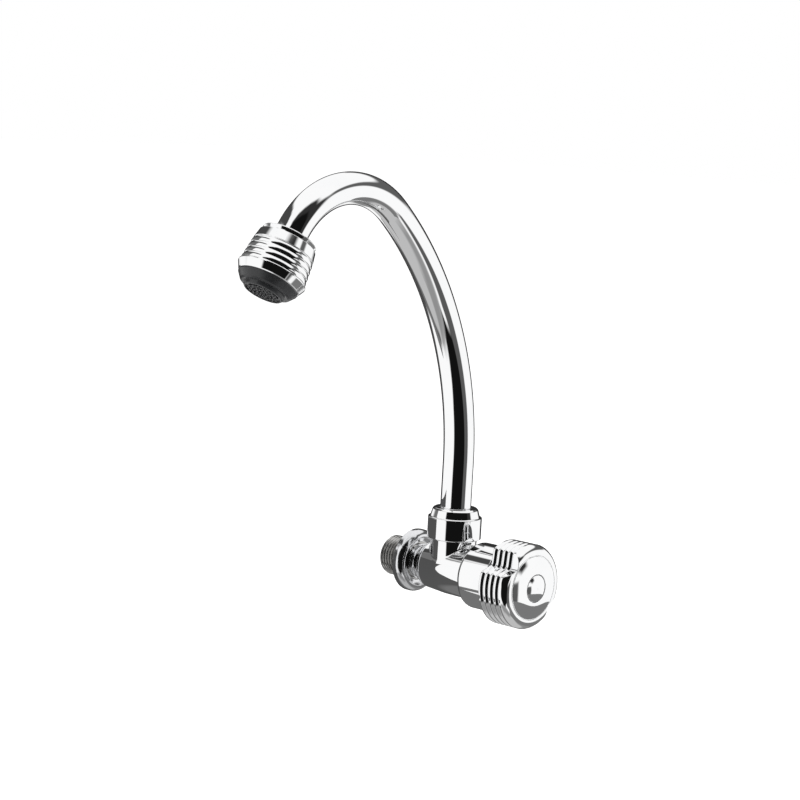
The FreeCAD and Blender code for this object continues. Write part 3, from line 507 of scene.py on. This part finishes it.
def bump(tree, shader, height, strength, distance):
    """Feed a height to the shader's normal."""
    node = tree.nodes.new("ShaderNodeBump")
    node.inputs["Strength"].default_value = strength
    node.inputs["Distance"].default_value = distance
    tree.links.new(height, node.inputs["Height"])
    tree.links.new(node.outputs["Normal"], shader.inputs["Normal"])


# %% plate and nickel
FINISHES = {}


def plated(name, clean, smudged, scale, base, spread):
    """A plated metal that dulls a little where it is smudged."""
    material, tree, shader, mask = polished(name, 1.0, scale, base, spread)
    colour_by(tree, shader, mask, clean, smudged)
    return material


FINISHES["bright_chrome"] = plated(
    "chrome_plate", (0.955, 0.957, 0.96), (0.93, 0.935, 0.945), 55.0, 0.018, 0.03)
FLANGE_CHROME = plated(
    "satin_chrome", (0.8, 0.806, 0.82), (0.74, 0.75, 0.765), 90.0, 0.13, 0.08)
FINISHES["nickel_tail"] = plated(
    "dull_nickel", (0.49, 0.485, 0.475), (0.27, 0.265, 0.255), 160.0, 0.05, 0.1)
print("plated", sorted(FINISHES))

# %% turned brass and bright steel
TURNING_LINES = 2600.0          # per metre

for slot_name, crest_sheen_colour, groove_shade_colour, roughness in (
        ("turned_brass", (0.80, 0.62, 0.32), (0.58, 0.42, 0.2), 0.24),
        ("stainless_steel", (0.66, 0.66, 0.65), (0.5, 0.5, 0.5), 0.2)):
    title = slot_name.replace("_", " ") + " finish"
    material, tree, shader = polished(title, 1.0, 120.0, roughness, 0.14)[:3]
    turned = use_group(tree, lines, Lines_per_Metre=TURNING_LINES, Depth=0.8)
    # painted shade in the grooves of the turning lines and a painted sheen on their crests: the
    # colour follows the relief
    colour_by(tree, shader, turned.outputs["Mask"], groove_shade_colour, crest_sheen_colour)
    bump(tree, shader, turned.outputs["Height"], 0.35, 0.0001)
    FINISHES[slot_name] = material

# %% rubber, fibre and plastics
for slot_name, first, second, roughness, scale in (
        ("black_rubber", (0.018, 0.018, 0.019), (0.035, 0.034, 0.033), 0.6, 1500.0),
        ("fibre_gasket", (0.42, 0.13, 0.08), (0.28, 0.08, 0.05), 0.85, 700.0),
        ("white_plastic", (0.84, 0.84, 0.81), (0.78, 0.78, 0.74), 0.42, 900.0),
        ("dark_plastic", (0.016, 0.0165, 0.018), (0.028, 0.029, 0.031), 0.27, 1200.0)):
    title = slot_name.replace("_", " ") + " finish"
    material, tree, shader = polished(title, 0.0, 90.0, roughness, 0.12)[:3]
    moulded = use_group(tree, grain, Scale=scale, Depth=0.6)
    colour_by(tree, shader, moulded.outputs["Mask"], first, second)
    bump(tree, shader, moulded.outputs["Height"], 0.25, 0.00006)
    FINISHES[slot_name] = material
print("finishes", sorted(FINISHES))

# %% [markdown]
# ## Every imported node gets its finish
# The nodes keep their meshes and places, and each takes the finish that its slot in the
# record names. A new finish per node would look the same and be harder to change.

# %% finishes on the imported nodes
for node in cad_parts.values():
    for index, old in enumerate(node.data.materials):
        node.data.materials[index] = FINISHES[old.name.split(".")[0]]
print("finished nodes", len(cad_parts))

# %% [markdown]
# ## Turned pieces
# Flange, sleeve, nut, button and nozzle are all round about an axis: pressed, drawn or
# turned. A plain spin of straight lines gives knife edges, and real plate never has them:
# an edge shows as a thin bright line because it is slightly round. So each outline is
# written as points, with arcs where the piece is curved, every corner is rounded a little,
# and the exact outline direction gives the normal of every vertex.

# %% outline with rounded corners
MM = 0.001
ARC_STEP = math.radians(4.0)
CORNER_STEP = math.radians(15)
SAME_PLACE = 1e-5
TINY = 1e-6
SMALLEST_CORNER = 0.03          # radians; a smaller turn stays as it is
LARGEST_CORNER = 2.6
ROOM_SHARE = 0.45               # of a run's length, for the rounding at each of its ends
CORNER_PULL = 0.96              # of the reach to where the two sides would meet


def arc_run(start, through, end):
    """Samples (place, heading) along the circle through three complex points."""
    across = (through - start) / (end - start)
    centre = start + (end - start) * (across - abs(across) ** 2) / (across - across.conjugate())
    spoke = start - centre
    turn = cmath.phase((end - centre) / spoke)
    half = cmath.phase((through - centre) / spoke)
    if half * turn < 0 or abs(half) > abs(turn):
        turn -= math.copysign(2 * math.pi, turn)
    count = max(2, math.ceil(abs(turn) / ARC_STEP))
    heading = 1j if turn > 0 else -1j
    run = []
    for index in range(count + 1):
        swung = spoke * cmath.exp(1j * turn * index / count)
        run.append((centre + swung, heading * swung / abs(swung)))
    return run


def outline_runs(steps):
    """Straight and arc runs of a closed outline of points and (through, end) arcs."""
    runs = []
    here = complex(*steps[0])
    for step in list(steps[1:]) + [steps[0]]:
        if isinstance(step[0], tuple):
            end = complex(*step[1])
            runs.append(arc_run(here, complex(*step[0]), end))
        else:
            end = complex(*step)
            if abs(end - here) < TINY:
                continue
            heading = (end - here) / abs(end - here)
            runs.append([(here, heading), (end, heading)])
        here = end
    return runs


def run_length(run):
    """Length of a run, over its samples."""
    return sum(abs(after[0] - before[0]) for before, after in zip(run, run[1:]))


def trim_run(run, start_cut, end_cut):
    """Shorten a run at both ends, by lengths along it."""
    for cut, at_end in ((start_cut, False), (end_cut, True)):
        if cut <= 0:
            continue
        samples = run[::-1] if at_end else run
        left = cut
        while len(samples) > 2 and abs(samples[1][0] - samples[0][0]) <= left:
            left -= abs(samples[1][0] - samples[0][0])
            samples = samples[1:]
        part = left / abs(samples[1][0] - samples[0][0])
        place = samples[0][0] + (samples[1][0] - samples[0][0]) * part
        heading = samples[0][1] + (samples[1][1] - samples[0][1]) * part
        samples = [(place, heading / abs(heading))] + samples[1:]
        run = samples[::-1] if at_end else samples
    return run


def round_outline(steps, rounding):
    """The closed outline as samples (place, outward normal), with rounded corners."""
    runs = outline_runs(steps)
    count = len(runs)
    turns = []
    cuts = []
    for index in range(count):
        before, after = runs[index - 1], runs[index]
        turn = cmath.phase(after[0][1] / before[-1][1])
        turns.append(turn)
        wanted = rounding * math.tan(min(abs(turn), LARGEST_CORNER) / 2)
        room = ROOM_SHARE * min(run_length(before), run_length(after))
        cuts.append(min(wanted, room) if abs(turn) > SMALLEST_CORNER else 0.0)
    samples = []
    for index, turn in enumerate(turns):
        run = trim_run(runs[index], cuts[index], cuts[(index + 1) % count])
        if cuts[index] > 0:
            here, start_heading = samples[-1] if samples else trim_run(runs[-1], 0.0, cuts[0])[-1]
            there, end_heading = run[0]
            pull = abs(there - here) / max(0.2, 2 * math.cos(turn / 2)) * CORNER_PULL
            corner_steps = max(3, math.ceil(abs(turn) / CORNER_STEP))
            for step in range(1, corner_steps):
                part = step / corner_steps
                place = ((1 - part) ** 3 * here
                         + 3 * (1 - part) ** 2 * part * (here + start_heading * pull)
                         + 3 * (1 - part) * part ** 2 * (there - end_heading * pull)
                         + part ** 3 * there)
                samples.append((place, start_heading * cmath.exp(1j * turn * part)))
        for place, heading in run:
            if not samples or abs(place - samples[-1][0]) > SAME_PLACE:
                samples.append((place, heading))
    if abs(samples[0][0] - samples[-1][0]) < SAME_PLACE:
        samples.pop()
    area = sum((before[0].conjugate() * after[0]).imag
               for before, after in zip(samples, samples[1:] + samples[:1]))
    outward = -1j if area > 0 else 1j
    return [(place, heading * outward) for place, heading in samples]


# %% spin an outline round an axis
AROUND = 144
EVEN_ANGLES = [2 * math.pi * step / AROUND for step in range(AROUND)]
TO_WALL = Vector((0, 1, 0))
INLET = (Vector((0, 0, 0)), Vector((0, -1, 0)), Vector((1, 0, 0)))
RISER_Y = -0.027
RISER = (Vector((0, RISER_Y, 0)), Vector((0, 0, 1)), Vector((1, 0, 0)))
LEAN = math.radians(31.5)
NOZZLE_DOWN = Vector((-math.sin(LEAN), 0.0, -math.cos(LEAN)))
BALL_CENTRE = Vector((-0.1322996, RISER_Y, 0.1654809))
NOZZLE = (BALL_CENTRE, NOZZLE_DOWN, Vector((0, 1, 0)))


def dress(piece, slot_name, body, *replaced):
    """Give a new piece its finish, its body and the nodes it stands for."""
    piece.data.materials.append(FINISHES[slot_name])
    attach(piece, body)
    if replaced:
        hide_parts(*replaced)


def enclosed(points, faces):
    """Six times the volume inside the faces, negative if they look inward."""
    total = 0.0
    for face in faces:
        first = points[face[0]]
        for second, third in zip(face[1:], face[2:]):
            total += first.dot(points[second].cross(points[third]))
    return total


def skin(name, rows):
    """A closed piece from rings of (point, normal); a ring of one point is a pole."""
    points = []
    normals = []
    rings = []
    around = max(len(row) for row in rows)
    for row in rows:
        start = len(points)
        rings.append([start] * around if len(row) == 1 else list(range(start, start + around)))
        points += [point for point, normal in row]
        normals += [normal for point, normal in row]
    faces = []
    for index, current in enumerate(rings):
        following = rings[(index + 1) % len(rings)]
        for step in range(around):
            after = (step + 1) % around
            corners = [current[step], current[after], following[after], following[step]]
            corners = list(dict.fromkeys(corners))
            if len(corners) > 2:
                faces.append(corners)
    if enclosed(points, faces) < 0:
        faces = [corners[::-1] for corners in faces]
    piece = mesh_object(name, points, faces)
    piece.data.normals_split_custom_set_from_vertices(normals)
    print(name, "points", len(points))
    return piece


def ring(axis, place, normal):
    """One ring of a turned surface, from an outline sample."""
    origin, along, across = axis
    third = along.cross(across)
    centre = origin + along * place.real * MM
    if abs(place.imag) < TINY:
        return [(centre, along * normal.real)]
    row = []
    for angle in EVEN_ANGLES:
        spoke = across * math.cos(angle) + third * math.sin(angle)
        row.append((centre + spoke * place.imag * MM, along * normal.real + spoke * normal.imag))
    return row


def spin(name, axis, steps, rounding):
    """A turned piece from (along, radius) points in millimetres."""
    return skin(name, [ring(axis, place, normal)
                       for place, normal in round_outline(steps, rounding)])


# %% [markdown]
# ## Flange, sleeve, nut and button
# The flange is a thin dished plate pressed from sheet that hides the hole in the wall. The
# sleeve is drawn tube over the headwork, the nut is turned from bar with a stepped collar,
# and the button is a snapped-in dome. Each could be a scaled cylinder, but then its steps
# and its dome would reflect wrongly, so each is spun from its own outline.

# %% wall flange
flange = spin("flange_cover", INLET, [
    (0.0, 10.0), (4.2, 10.0),
    ((4.75, 11.6), (5.7, 12.9)),
    ((4.558, 15.375), (1.8, 16.4)),
    (0.0, 16.4), (0.0, 14.2), (2.6, 12.15), (2.6, 11.6), (0.0, 11.6),
], 0.35)
dress(flange, "bright_chrome", "tap", "wall_flange")
flange.data.materials[0] = FLANGE_CHROME

# %% sleeve over the headwork
sleeve = spin("bonnet_sleeve_shell", INLET, [
    (44.5, 13.8), (44.5, 14.4), ((45.2615, 16.2385), (47.1, 17.0)),
    (63.5, 17.0), (63.5, 15.4), (59.5, 15.4), (59.5, 9.5),
    (57.0, 9.5), (57.0, 15.4), (47.1, 15.4), (46.1, 14.4),
], 0.4)
dress(sleeve, "bright_chrome", "tap", "bonnet_sleeve")

# %% spout nut
nut = spin("spout_nut_shell", RISER, [
    (16.3, 11.4), (16.3, 13.9), (27.4, 13.9), (27.4, 12.9),
    (31.3, 11.8), (32.1, 11.0), (32.1, 8.35), (27.2, 8.35), (27.2, 11.4),
], 0.5)
dress(nut, "bright_chrome", "tap", "spout_nut")

# %% centre button
button = spin("centre_button", INLET, [
    (80.1, 0.0), (80.1, 4.5), (82.5, 4.5), (82.5, 6.8), (83.7, 6.8),
    ((84.675, 3.417), (85.0, 0.0)),
], 0.25)
dress(button, "bright_chrome", "knob", "index_button")

# %% [markdown]
# ## Nozzle
# The shell is turned with scalloped ribs between a sloping shoulder and a plain band, and
# a bead and a groove round its upper rim. The ribs are what make it sparkle, so they are
# true arcs with a narrow valley between them; a normal map would not break the outline of
# the shell as the real ribs do. The insert below it is moulded in dark plastic.

# %% ribbed nozzle shell
GROOVES = 5
GROOVE_START = -0.1
GROOVE_PITCH = 2.95
GROOVE_DEPTH = 0.35
GROOVE_CREST = 0.1
SHELL_START = 15.3
SHELL_SLOPE = (16.5 - SHELL_START) / ((GROOVES - 1) * GROOVE_PITCH)
valleys = [(GROOVE_START + index * GROOVE_PITCH,
            SHELL_START + SHELL_SLOPE * index * GROOVE_PITCH - GROOVE_DEPTH)
           for index in range(GROOVES)]
shell_steps = [
    (16.3, 12.0), (0.0, 12.0), ((-3.93, 11.338), (-5.809, 10.5)),      # bore and ball socket
    (-8.0, 11.3), (-8.0, 12.6), ((-7.75, 13.3), (-7.4, 13.5)),         # rim bead
    (-5.4, 12.6), (-5.3, 14.3), (-0.45, 15.3), valleys[0],             # groove and shoulder
]
for before, after in zip(valleys, valleys[1:]):
    middle = (before[0] + after[0]) / 2
    crest = (before[1] + after[1]) / 2 + GROOVE_DEPTH + GROOVE_CREST
    shell_steps.append(((middle, crest), after))
shell_steps += [(11.7, 16.5), ((11.876, 16.924), (12.3, 17.1)), (12.6, 17.1),
                (15.9, 15.4), (16.3, 15.0)]
shell = spin("nozzle_shell_skin", NOZZLE, shell_steps, 0.22)
dress(shell, "bright_chrome", "nozzle", "nozzle_shell")

# %% dark insert
insert = spin("spray_insert_skin", NOZZLE, [
    (8.0, 8.6), (8.0, 12.0), (16.3, 12.0), (16.3, 15.0), (17.0, 15.0), (19.9, 12.8),
    (20.5, 11.7), (20.5, 10.3), (22.0, 9.9), (22.4, 9.5), (22.4, 8.9), (20.2, 8.9),
    (20.2, 7.6), (19.2, 7.6), (19.2, 8.6),
], 0.15)
dress(insert, "dark_plastic", "nozzle", "spray_insert")

# %% [markdown]
# ## Spout pipe
# The pipe is drawn tube, bent twice: a long easy bend up from the riser and a tight one
# over the top. A curve with a bevel would be quicker, but its bends only come near to
# circles. Here every ring stands square to a line made of two true arcs, so the long
# reflections run without a ripple.

# %% bent pipe
PIPE_RADIUS = 7.99
PIPE_WALL = 1.0
STRAIGHT_FROM, STRAIGHT_TO = 17.0, 54.9
BENDS = ((171.5, 49.0, 44), (45.2, 99.5, 64))      # radius, degrees, rings
PIPE_TIP = 2.4
PIPE_AROUND = 96


def spout_line():
    """Places and headings along the middle of the pipe, in its own plane."""
    line = [(complex(0, STRAIGHT_FROM), 1j)]
    here, heading = complex(0, STRAIGHT_TO), 1j
    line.append((here, heading))
    for radius, degrees, count in BENDS:
        centre = here + radius * heading * -1j
        spoke = here - centre
        for step in range(1, count + 1):
            turn = cmath.exp(-1j * math.radians(degrees) * step / count)
            line.append((centre + spoke * turn, heading * turn))
        here, heading = line[-1]
    line.append((here + heading * PIPE_TIP, heading))
    return line


def pipe_ring(place, heading, radius, side, facing):
    """A ring square to the line; facing is +1 outside, -1 inside, 0 for an end face."""
    middle = Vector((-place.real * MM, RISER_Y, place.imag * MM))
    forward = Vector((-heading.real, 0.0, heading.imag))
    outward = TO_WALL.cross(forward)
    row = []
    for step in range(PIPE_AROUND):
        angle = 2 * math.pi * step / PIPE_AROUND
        spoke = outward * math.cos(angle) + TO_WALL * math.sin(angle)
        normal = spoke * facing if facing else forward * side
        row.append((middle + spoke * radius * MM, normal))
    return row


PIPE_BORE = PIPE_RADIUS - PIPE_WALL
pipe_line = spout_line()
pipe_rows = [pipe_ring(*pipe_line[0], PIPE_RADIUS, -1, 0)]
pipe_rows += [pipe_ring(place, heading, PIPE_RADIUS, 0, 1) for place, heading in pipe_line]
pipe_rows.append(pipe_ring(*pipe_line[-1], PIPE_RADIUS, 1, 0))
pipe_rows.append(pipe_ring(*pipe_line[-1], PIPE_BORE, 1, 0))
pipe_rows += [pipe_ring(place, heading, PIPE_BORE, 0, -1) for place, heading in pipe_line[::-1]]
pipe_rows.append(pipe_ring(*pipe_line[0], PIPE_BORE, -1, 0))
pipe = skin("spout_pipe_skin", pipe_rows)
dress(pipe, "bright_chrome", "spout", "spout_pipe")

# %% [markdown]
# ## Knob
# The knob is a die-cast disc with two finger notches cut across four ribs and a rounded
# cap. The ribs follow the notches, so a turned shape with notches cut out would be wrong.
# Instead the notched outline is drawn once with its normals; every ring of the knob is
# that outline moved in by some amount, and the cap runs from the outline to a round
# crease. Where a notch breaks out of the cap the edge is slightly rounded, as polished
# castings are. The sides of the gaps between the ribs slope at 45 degrees, and the slope
# that faces the cap mirrors a dark part of the room beside the bright crest of each rib.

# %% notched outline
KNOB_RADIUS = 21.697
NOTCHES = (141.5, -38.5)
ROOT_RADIUS = 16.8
ROOT_ROUNDING = 2.6
LIP_ROUNDING = 2.4
WALL_ANGLE = math.radians(58.5)
ROOT_STEPS = 8
WALL_STEPS = 5
LIP_STEPS = 12
RIM_STEPS = 64


def notched_outline():
    """Samples (place, outward normal) of the knob's outline, anticlockwise from the front."""
    apex = ROOT_RADIUS - ROOT_ROUNDING * (1 / math.sin(WALL_ANGLE) - 1)
    lip_reach = KNOB_RADIUS - LIP_ROUNDING
    lip_angle = WALL_ANGLE + math.asin((LIP_ROUNDING - apex * math.sin(WALL_ANGLE)) / lip_reach)
    wall_normal = cmath.exp(1j * (WALL_ANGLE - math.pi / 2))
    lip_centre = cmath.rect(lip_reach, lip_angle)
    root_centre = complex(apex + ROOT_ROUNDING / math.sin(WALL_ANGLE), 0.0)
    root_swing = WALL_ANGLE + math.pi / 2
    upper = []
    for step in range(ROOT_STEPS + 1):
        heading = root_swing + (math.pi - root_swing) * (1 - step / ROOT_STEPS)
        upper.append((root_centre + cmath.rect(ROOT_ROUNDING, heading),
                      cmath.rect(-1.0, heading)))
    lip_end = lip_centre + wall_normal * LIP_ROUNDING
    wall_start = upper[-1][0]
    for step in range(1, WALL_STEPS):
        upper.append((wall_start + (lip_end - wall_start) * step / WALL_STEPS, wall_normal))
    swing = lip_angle - (WALL_ANGLE - math.pi / 2)
    for step in range(LIP_STEPS + 1):
        heading = WALL_ANGLE - math.pi / 2 + swing * step / LIP_STEPS
        upper.append((lip_centre + cmath.rect(LIP_ROUNDING, heading), cmath.rect(1.0, heading)))
    lower = [(place.conjugate(), normal.conjugate()) for place, normal in upper[:0:-1]]
    rim = math.pi - 2 * lip_angle
    outline = []
    for degrees in NOTCHES:
        turn = cmath.exp(1j * math.radians(degrees))
        outline += [(place * turn, normal * turn) for place, normal in lower + upper]
        for step in range(1, RIM_STEPS):
            spoke = cmath.exp(1j * (lip_angle + rim * step / RIM_STEPS)) * turn
            outline.append((KNOB_RADIUS * spoke, spoke))
    return outline


outline = notched_outline()
knob_angles = [cmath.phase(place) for place, normal in outline]
print("outline samples", len(outline))


# %% knob from rings
def knob_point(place, station):
    """A place across the knob, at a station along its axis in millimetres from the wall."""
    return Vector((place.real * MM, -station * MM, place.imag * MM))


def knob_normal(out, forward):
    """A direction from its part across the knob and its part toward the cap."""
    return Vector((out.real, -forward, out.imag))


def outline_ring(station, inset, out, forward):
    """The notched outline at a station, moved in by an inset."""
    return [(knob_point(place - normal * inset, station), knob_normal(normal * out, forward))
            for place, normal in outline]


# %% rounded shoulder of the cap
CAP_SIDE_END = 78.6
CREASE = complex(81.8, 16.5)
SHOULDER_RISE = 5.2
halfway = math.sqrt(0.5)
shoulder_through = complex(CAP_SIDE_END + (CREASE.real - CAP_SIDE_END) * halfway,
                           CREASE.imag + SHOULDER_RISE * halfway)
shoulder_run = arc_run(CREASE, shoulder_through, complex(CAP_SIDE_END, KNOB_RADIUS))
shoulder_radii = [place.imag for place, heading in shoulder_run]
shoulder_stations = [place.real for place, heading in shoulder_run]
shoulder_out = [abs(heading.real) for place, heading in shoulder_run]
shoulder_forward = [heading.imag for place, heading in shoulder_run]


def on_shoulder(radius):
    """Station and normal (out, forward) of the cap's rounded shoulder at a radius."""
    out = float(np.interp(radius, shoulder_radii, shoulder_out))
    forward = float(np.interp(radius, shoulder_radii, shoulder_forward))
    length = math.hypot(out, forward)
    station = float(np.interp(radius, shoulder_radii, shoulder_stations))
    return station, out / length, forward / length


print("shoulder samples", len(shoulder_run))

# %% hollow and face of the knob
KNOB_BACK = 64.0
BEYOND = 30.0                   # a radius past the knob, where the outline is cut off
FACE_END = 16.75

inside = [sample for sample in round_outline([
    (KNOB_BACK, BEYOND), (KNOB_BACK, 13.2), (74.0, 13.2), (74.0, 8.2), (66.5, 8.2),
    (66.5, 6.8), (68.0, 6.8), (68.0, 5.8), (76.0, 5.8), (76.0, 2.2), (77.0, 2.2), (77.0, 4.6),
    (82.5, 4.6), (82.5, 6.9), (83.8, 7.2), ((83.04, 12.45), (82.0, 16.0)), (81.45, 16.0),
    (81.45, CREASE.imag), (CREASE.real, CREASE.imag),
    ((shoulder_through.real, shoulder_through.imag), (CAP_SIDE_END, KNOB_RADIUS)),
    (CAP_SIDE_END, BEYOND),
], 0.15) if sample[0].imag < FACE_END]
knob_rows = [[(knob_point(cmath.rect(place.imag, angle), place.real),
               knob_normal(cmath.rect(normal.imag, angle), normal.real))
              for angle in knob_angles] for place, normal in inside]
print("rings inside and on the face", len(knob_rows))

# %% cap between its crease and the notched outline
EDGE_ROUNDING = 0.35
FLAT_BEND = 0.02                # radians
CAP_ROWS = 14
EDGE_ROWS = 5
NARROWEST_CAP = 0.05
inner_radius = inside[-1][0].imag
cap_rows = [[] for row in range(CAP_ROWS + EDGE_ROWS)]
for (place, normal), angle in zip(outline, knob_angles):
    spoke = cmath.rect(1.0, angle)
    station, out, forward = on_shoulder(abs(place))
    cap_normal = knob_normal(spoke * out, forward)
    wall_normal = knob_normal(normal, 0.0)
    corner = knob_point(place, station)
    bend = cap_normal.angle(wall_normal)
    cut = EDGE_ROUNDING * math.tan(bend / 2)
    edge_radius = max(abs(place) - cut * forward, inner_radius + NARROWEST_CAP)
    for row in range(CAP_ROWS):
        radius = inner_radius + (edge_radius - inner_radius) * (row + 1) / CAP_ROWS
        station_here, out_here, forward_here = on_shoulder(radius)
        cap_rows[row].append((knob_point(spoke * radius, station_here),
                              knob_normal(spoke * out_here, forward_here)))
    first = cap_rows[CAP_ROWS - 1][-1][0]
    last = corner + TO_WALL * cut * MM
    for row in range(EDGE_ROWS):
        part = (row + 1) / EDGE_ROWS
        if bend > FLAT_BEND:
            blended = cap_normal * math.sin((1 - part) * bend) + wall_normal * math.sin(part * bend)
        else:
            blended = cap_normal.lerp(wall_normal, part)
        point = first * (1 - part) ** 2 + corner * 2 * part * (1 - part) + last * part ** 2
        cap_rows[CAP_ROWS + row].append((point, blended.normalized()))
knob_rows += cap_rows
print("rings of the cap", len(cap_rows))

# %% ribs behind the cap
RIB_STARTS = (64.0, 67.3, 70.6, 73.9)
RIB_SIDE_ROUNDING = 0.35
GAP_DEPTH = 1.15
BELOW = -8.0                    # a height under the ribs, where the outline is cut off
SKIN_FLOOR = -2.0
CAP_SIDE_START = 78.3
CAP_BEYOND = 90.0

rib_steps = [(KNOB_BACK, BELOW), (KNOB_BACK, -0.4)]
for start in RIB_STARTS:
    rib_steps += [(start + 0.4, 0.0), (start + 1.4, 0.0), (start + 2.55, -GAP_DEPTH)]
rib_steps += [(77.6, 0.0), (CAP_BEYOND, 0.0), (CAP_BEYOND, BELOW)]
sides = [sample for sample in round_outline(rib_steps, RIB_SIDE_ROUNDING)
         if sample[0].imag > SKIN_FLOOR and sample[0].real < CAP_SIDE_START]
knob_rows += [outline_ring(place.real, -place.imag, normal.imag, normal.real)
              for place, normal in sides[::-1]]
knob = skin("handle_knob_skin", knob_rows)
dress(knob, "bright_chrome", "knob", "handle_knob")

# %% [markdown]
# ## Threaded tail
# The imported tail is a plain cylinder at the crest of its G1/2 thread. The thread seen
# beside the flange is a real helix, cut or rolled in brass. Rings stacked like ribs would
# show no pitch. Here the radius of each point depends on how far it lies along the axis
# less its turn, so one surface makes both crest and root, and a bevel leads it in at the
# tip. Inside the tip is the hexagon that a key turns.

# %% tail with a helical thread
THREAD_PITCH = 1.814
THREAD_DEPTH = 1.05
THREAD_CREST = 10.478
THREAD_FULLNESS = 0.85
THREAD_RING_STEP = 0.1
THREAD_RINGS = 156
LEAD_IN = 1.2
TIP_RADIUS = THREAD_CREST - 1.25
TAIL_TIP = -15.5
HEX_BOTTOM = -9.5
HEX_HALF_WIDTH = 5.9
TAIL_BORE = 5.5
SHANK_RADIUS = 10.0
NUDGE = 0.02                    # for slopes, and to keep rings apart


def thread_radius(station, angle):
    """Radius of the helical thread; the bevel at the tip holds it back."""
    turn = (station / THREAD_PITCH - angle / (2 * math.pi)) % 1.0
    ridge = 0.5 + 0.5 * math.cos(2 * math.pi * turn)
    radius = THREAD_CREST - THREAD_DEPTH * (1 - ridge ** THREAD_FULLNESS)
    return min(radius, THREAD_CREST - LEAD_IN + (station - TAIL_TIP))


def thread_ring(station):
    """A ring of the thread, with normals from the slopes along and round it."""
    row = []
    for angle in EVEN_ANGLES:
        radius = thread_radius(station, angle)
        slope = (thread_radius(station + NUDGE, angle)
                 - thread_radius(station - NUDGE, angle)) / (2 * NUDGE)
        twist = (thread_radius(station, angle + NUDGE)
                 - thread_radius(station, angle - NUDGE)) / (2 * NUDGE)
        spoke = Vector((math.cos(angle), 0.0, math.sin(angle)))
        beside = Vector((-math.sin(angle), 0.0, math.cos(angle)))
        normal = spoke - beside * (twist / radius) + TO_WALL * slope
        row.append((spoke * radius * MM - TO_WALL * station * MM, normal.normalized()))
    return row


def tail_ring(station, reach, forward, out):
    """A ring of the tail; reach gives the radius and out the sideways normal by angle."""
    row = []
    for angle in EVEN_ANGLES:
        radius = reach(angle)
        heading = out(angle)
        point = Vector((math.cos(angle) * radius, -station, math.sin(angle) * radius)) * MM
        row.append((point, Vector((heading.real, -forward, heading.imag))))
    return row


def hex_side(angle):
    """The middle angle of the hexagon flat that a direction meets."""
    return math.floor(angle / (math.pi / 3) + 0.5) * math.pi / 3


def hex_reach(angle):
    """How far the hexagon reaches from the axis in a direction."""
    return HEX_HALF_WIDTH / math.cos(angle - hex_side(angle))


def hex_normal(angle):
    return cmath.rect(-1.0, hex_side(angle))


def bore_reach(angle):
    return TAIL_BORE


def no_side(angle):
    return 0j


tail_rows = [tail_ring(TAIL_TIP, hex_reach, -1.0, no_side),
             tail_ring(TAIL_TIP, lambda angle: TIP_RADIUS, -1.0, no_side)]
tail_rows += [thread_ring(TAIL_TIP + NUDGE + step * THREAD_RING_STEP)
              for step in range(THREAD_RINGS)]
tail_rows.append(tail_ring(NUDGE, lambda angle: SHANK_RADIUS, 1.0, no_side))
shank = round_outline([(0.03, TAIL_BORE), (0.03, SHANK_RADIUS), (4.2, SHANK_RADIUS), (4.2, 7.6),
                       (12.5, 7.6), (12.5, TAIL_BORE)], 0.2)[1:]
tail_rows += [tail_ring(place.real, lambda angle, size=place.imag: size, normal.real,
                        lambda angle, size=normal.imag: cmath.rect(size, angle))
              for place, normal in shank]
tail_rows += [tail_ring(HEX_BOTTOM, bore_reach, 0.0, lambda angle: cmath.rect(-1.0, angle)),
              tail_ring(HEX_BOTTOM, bore_reach, -1.0, no_side),
              tail_ring(HEX_BOTTOM, hex_reach, -1.0, no_side),
              tail_ring(HEX_BOTTOM, hex_reach, 0.0, hex_normal),
              tail_ring(TAIL_TIP, hex_reach, 0.0, hex_normal)]
tail = skin("inlet_tail_thread", tail_rows)
dress(tail, "nickel_tail", "tap", "inlet_tail")
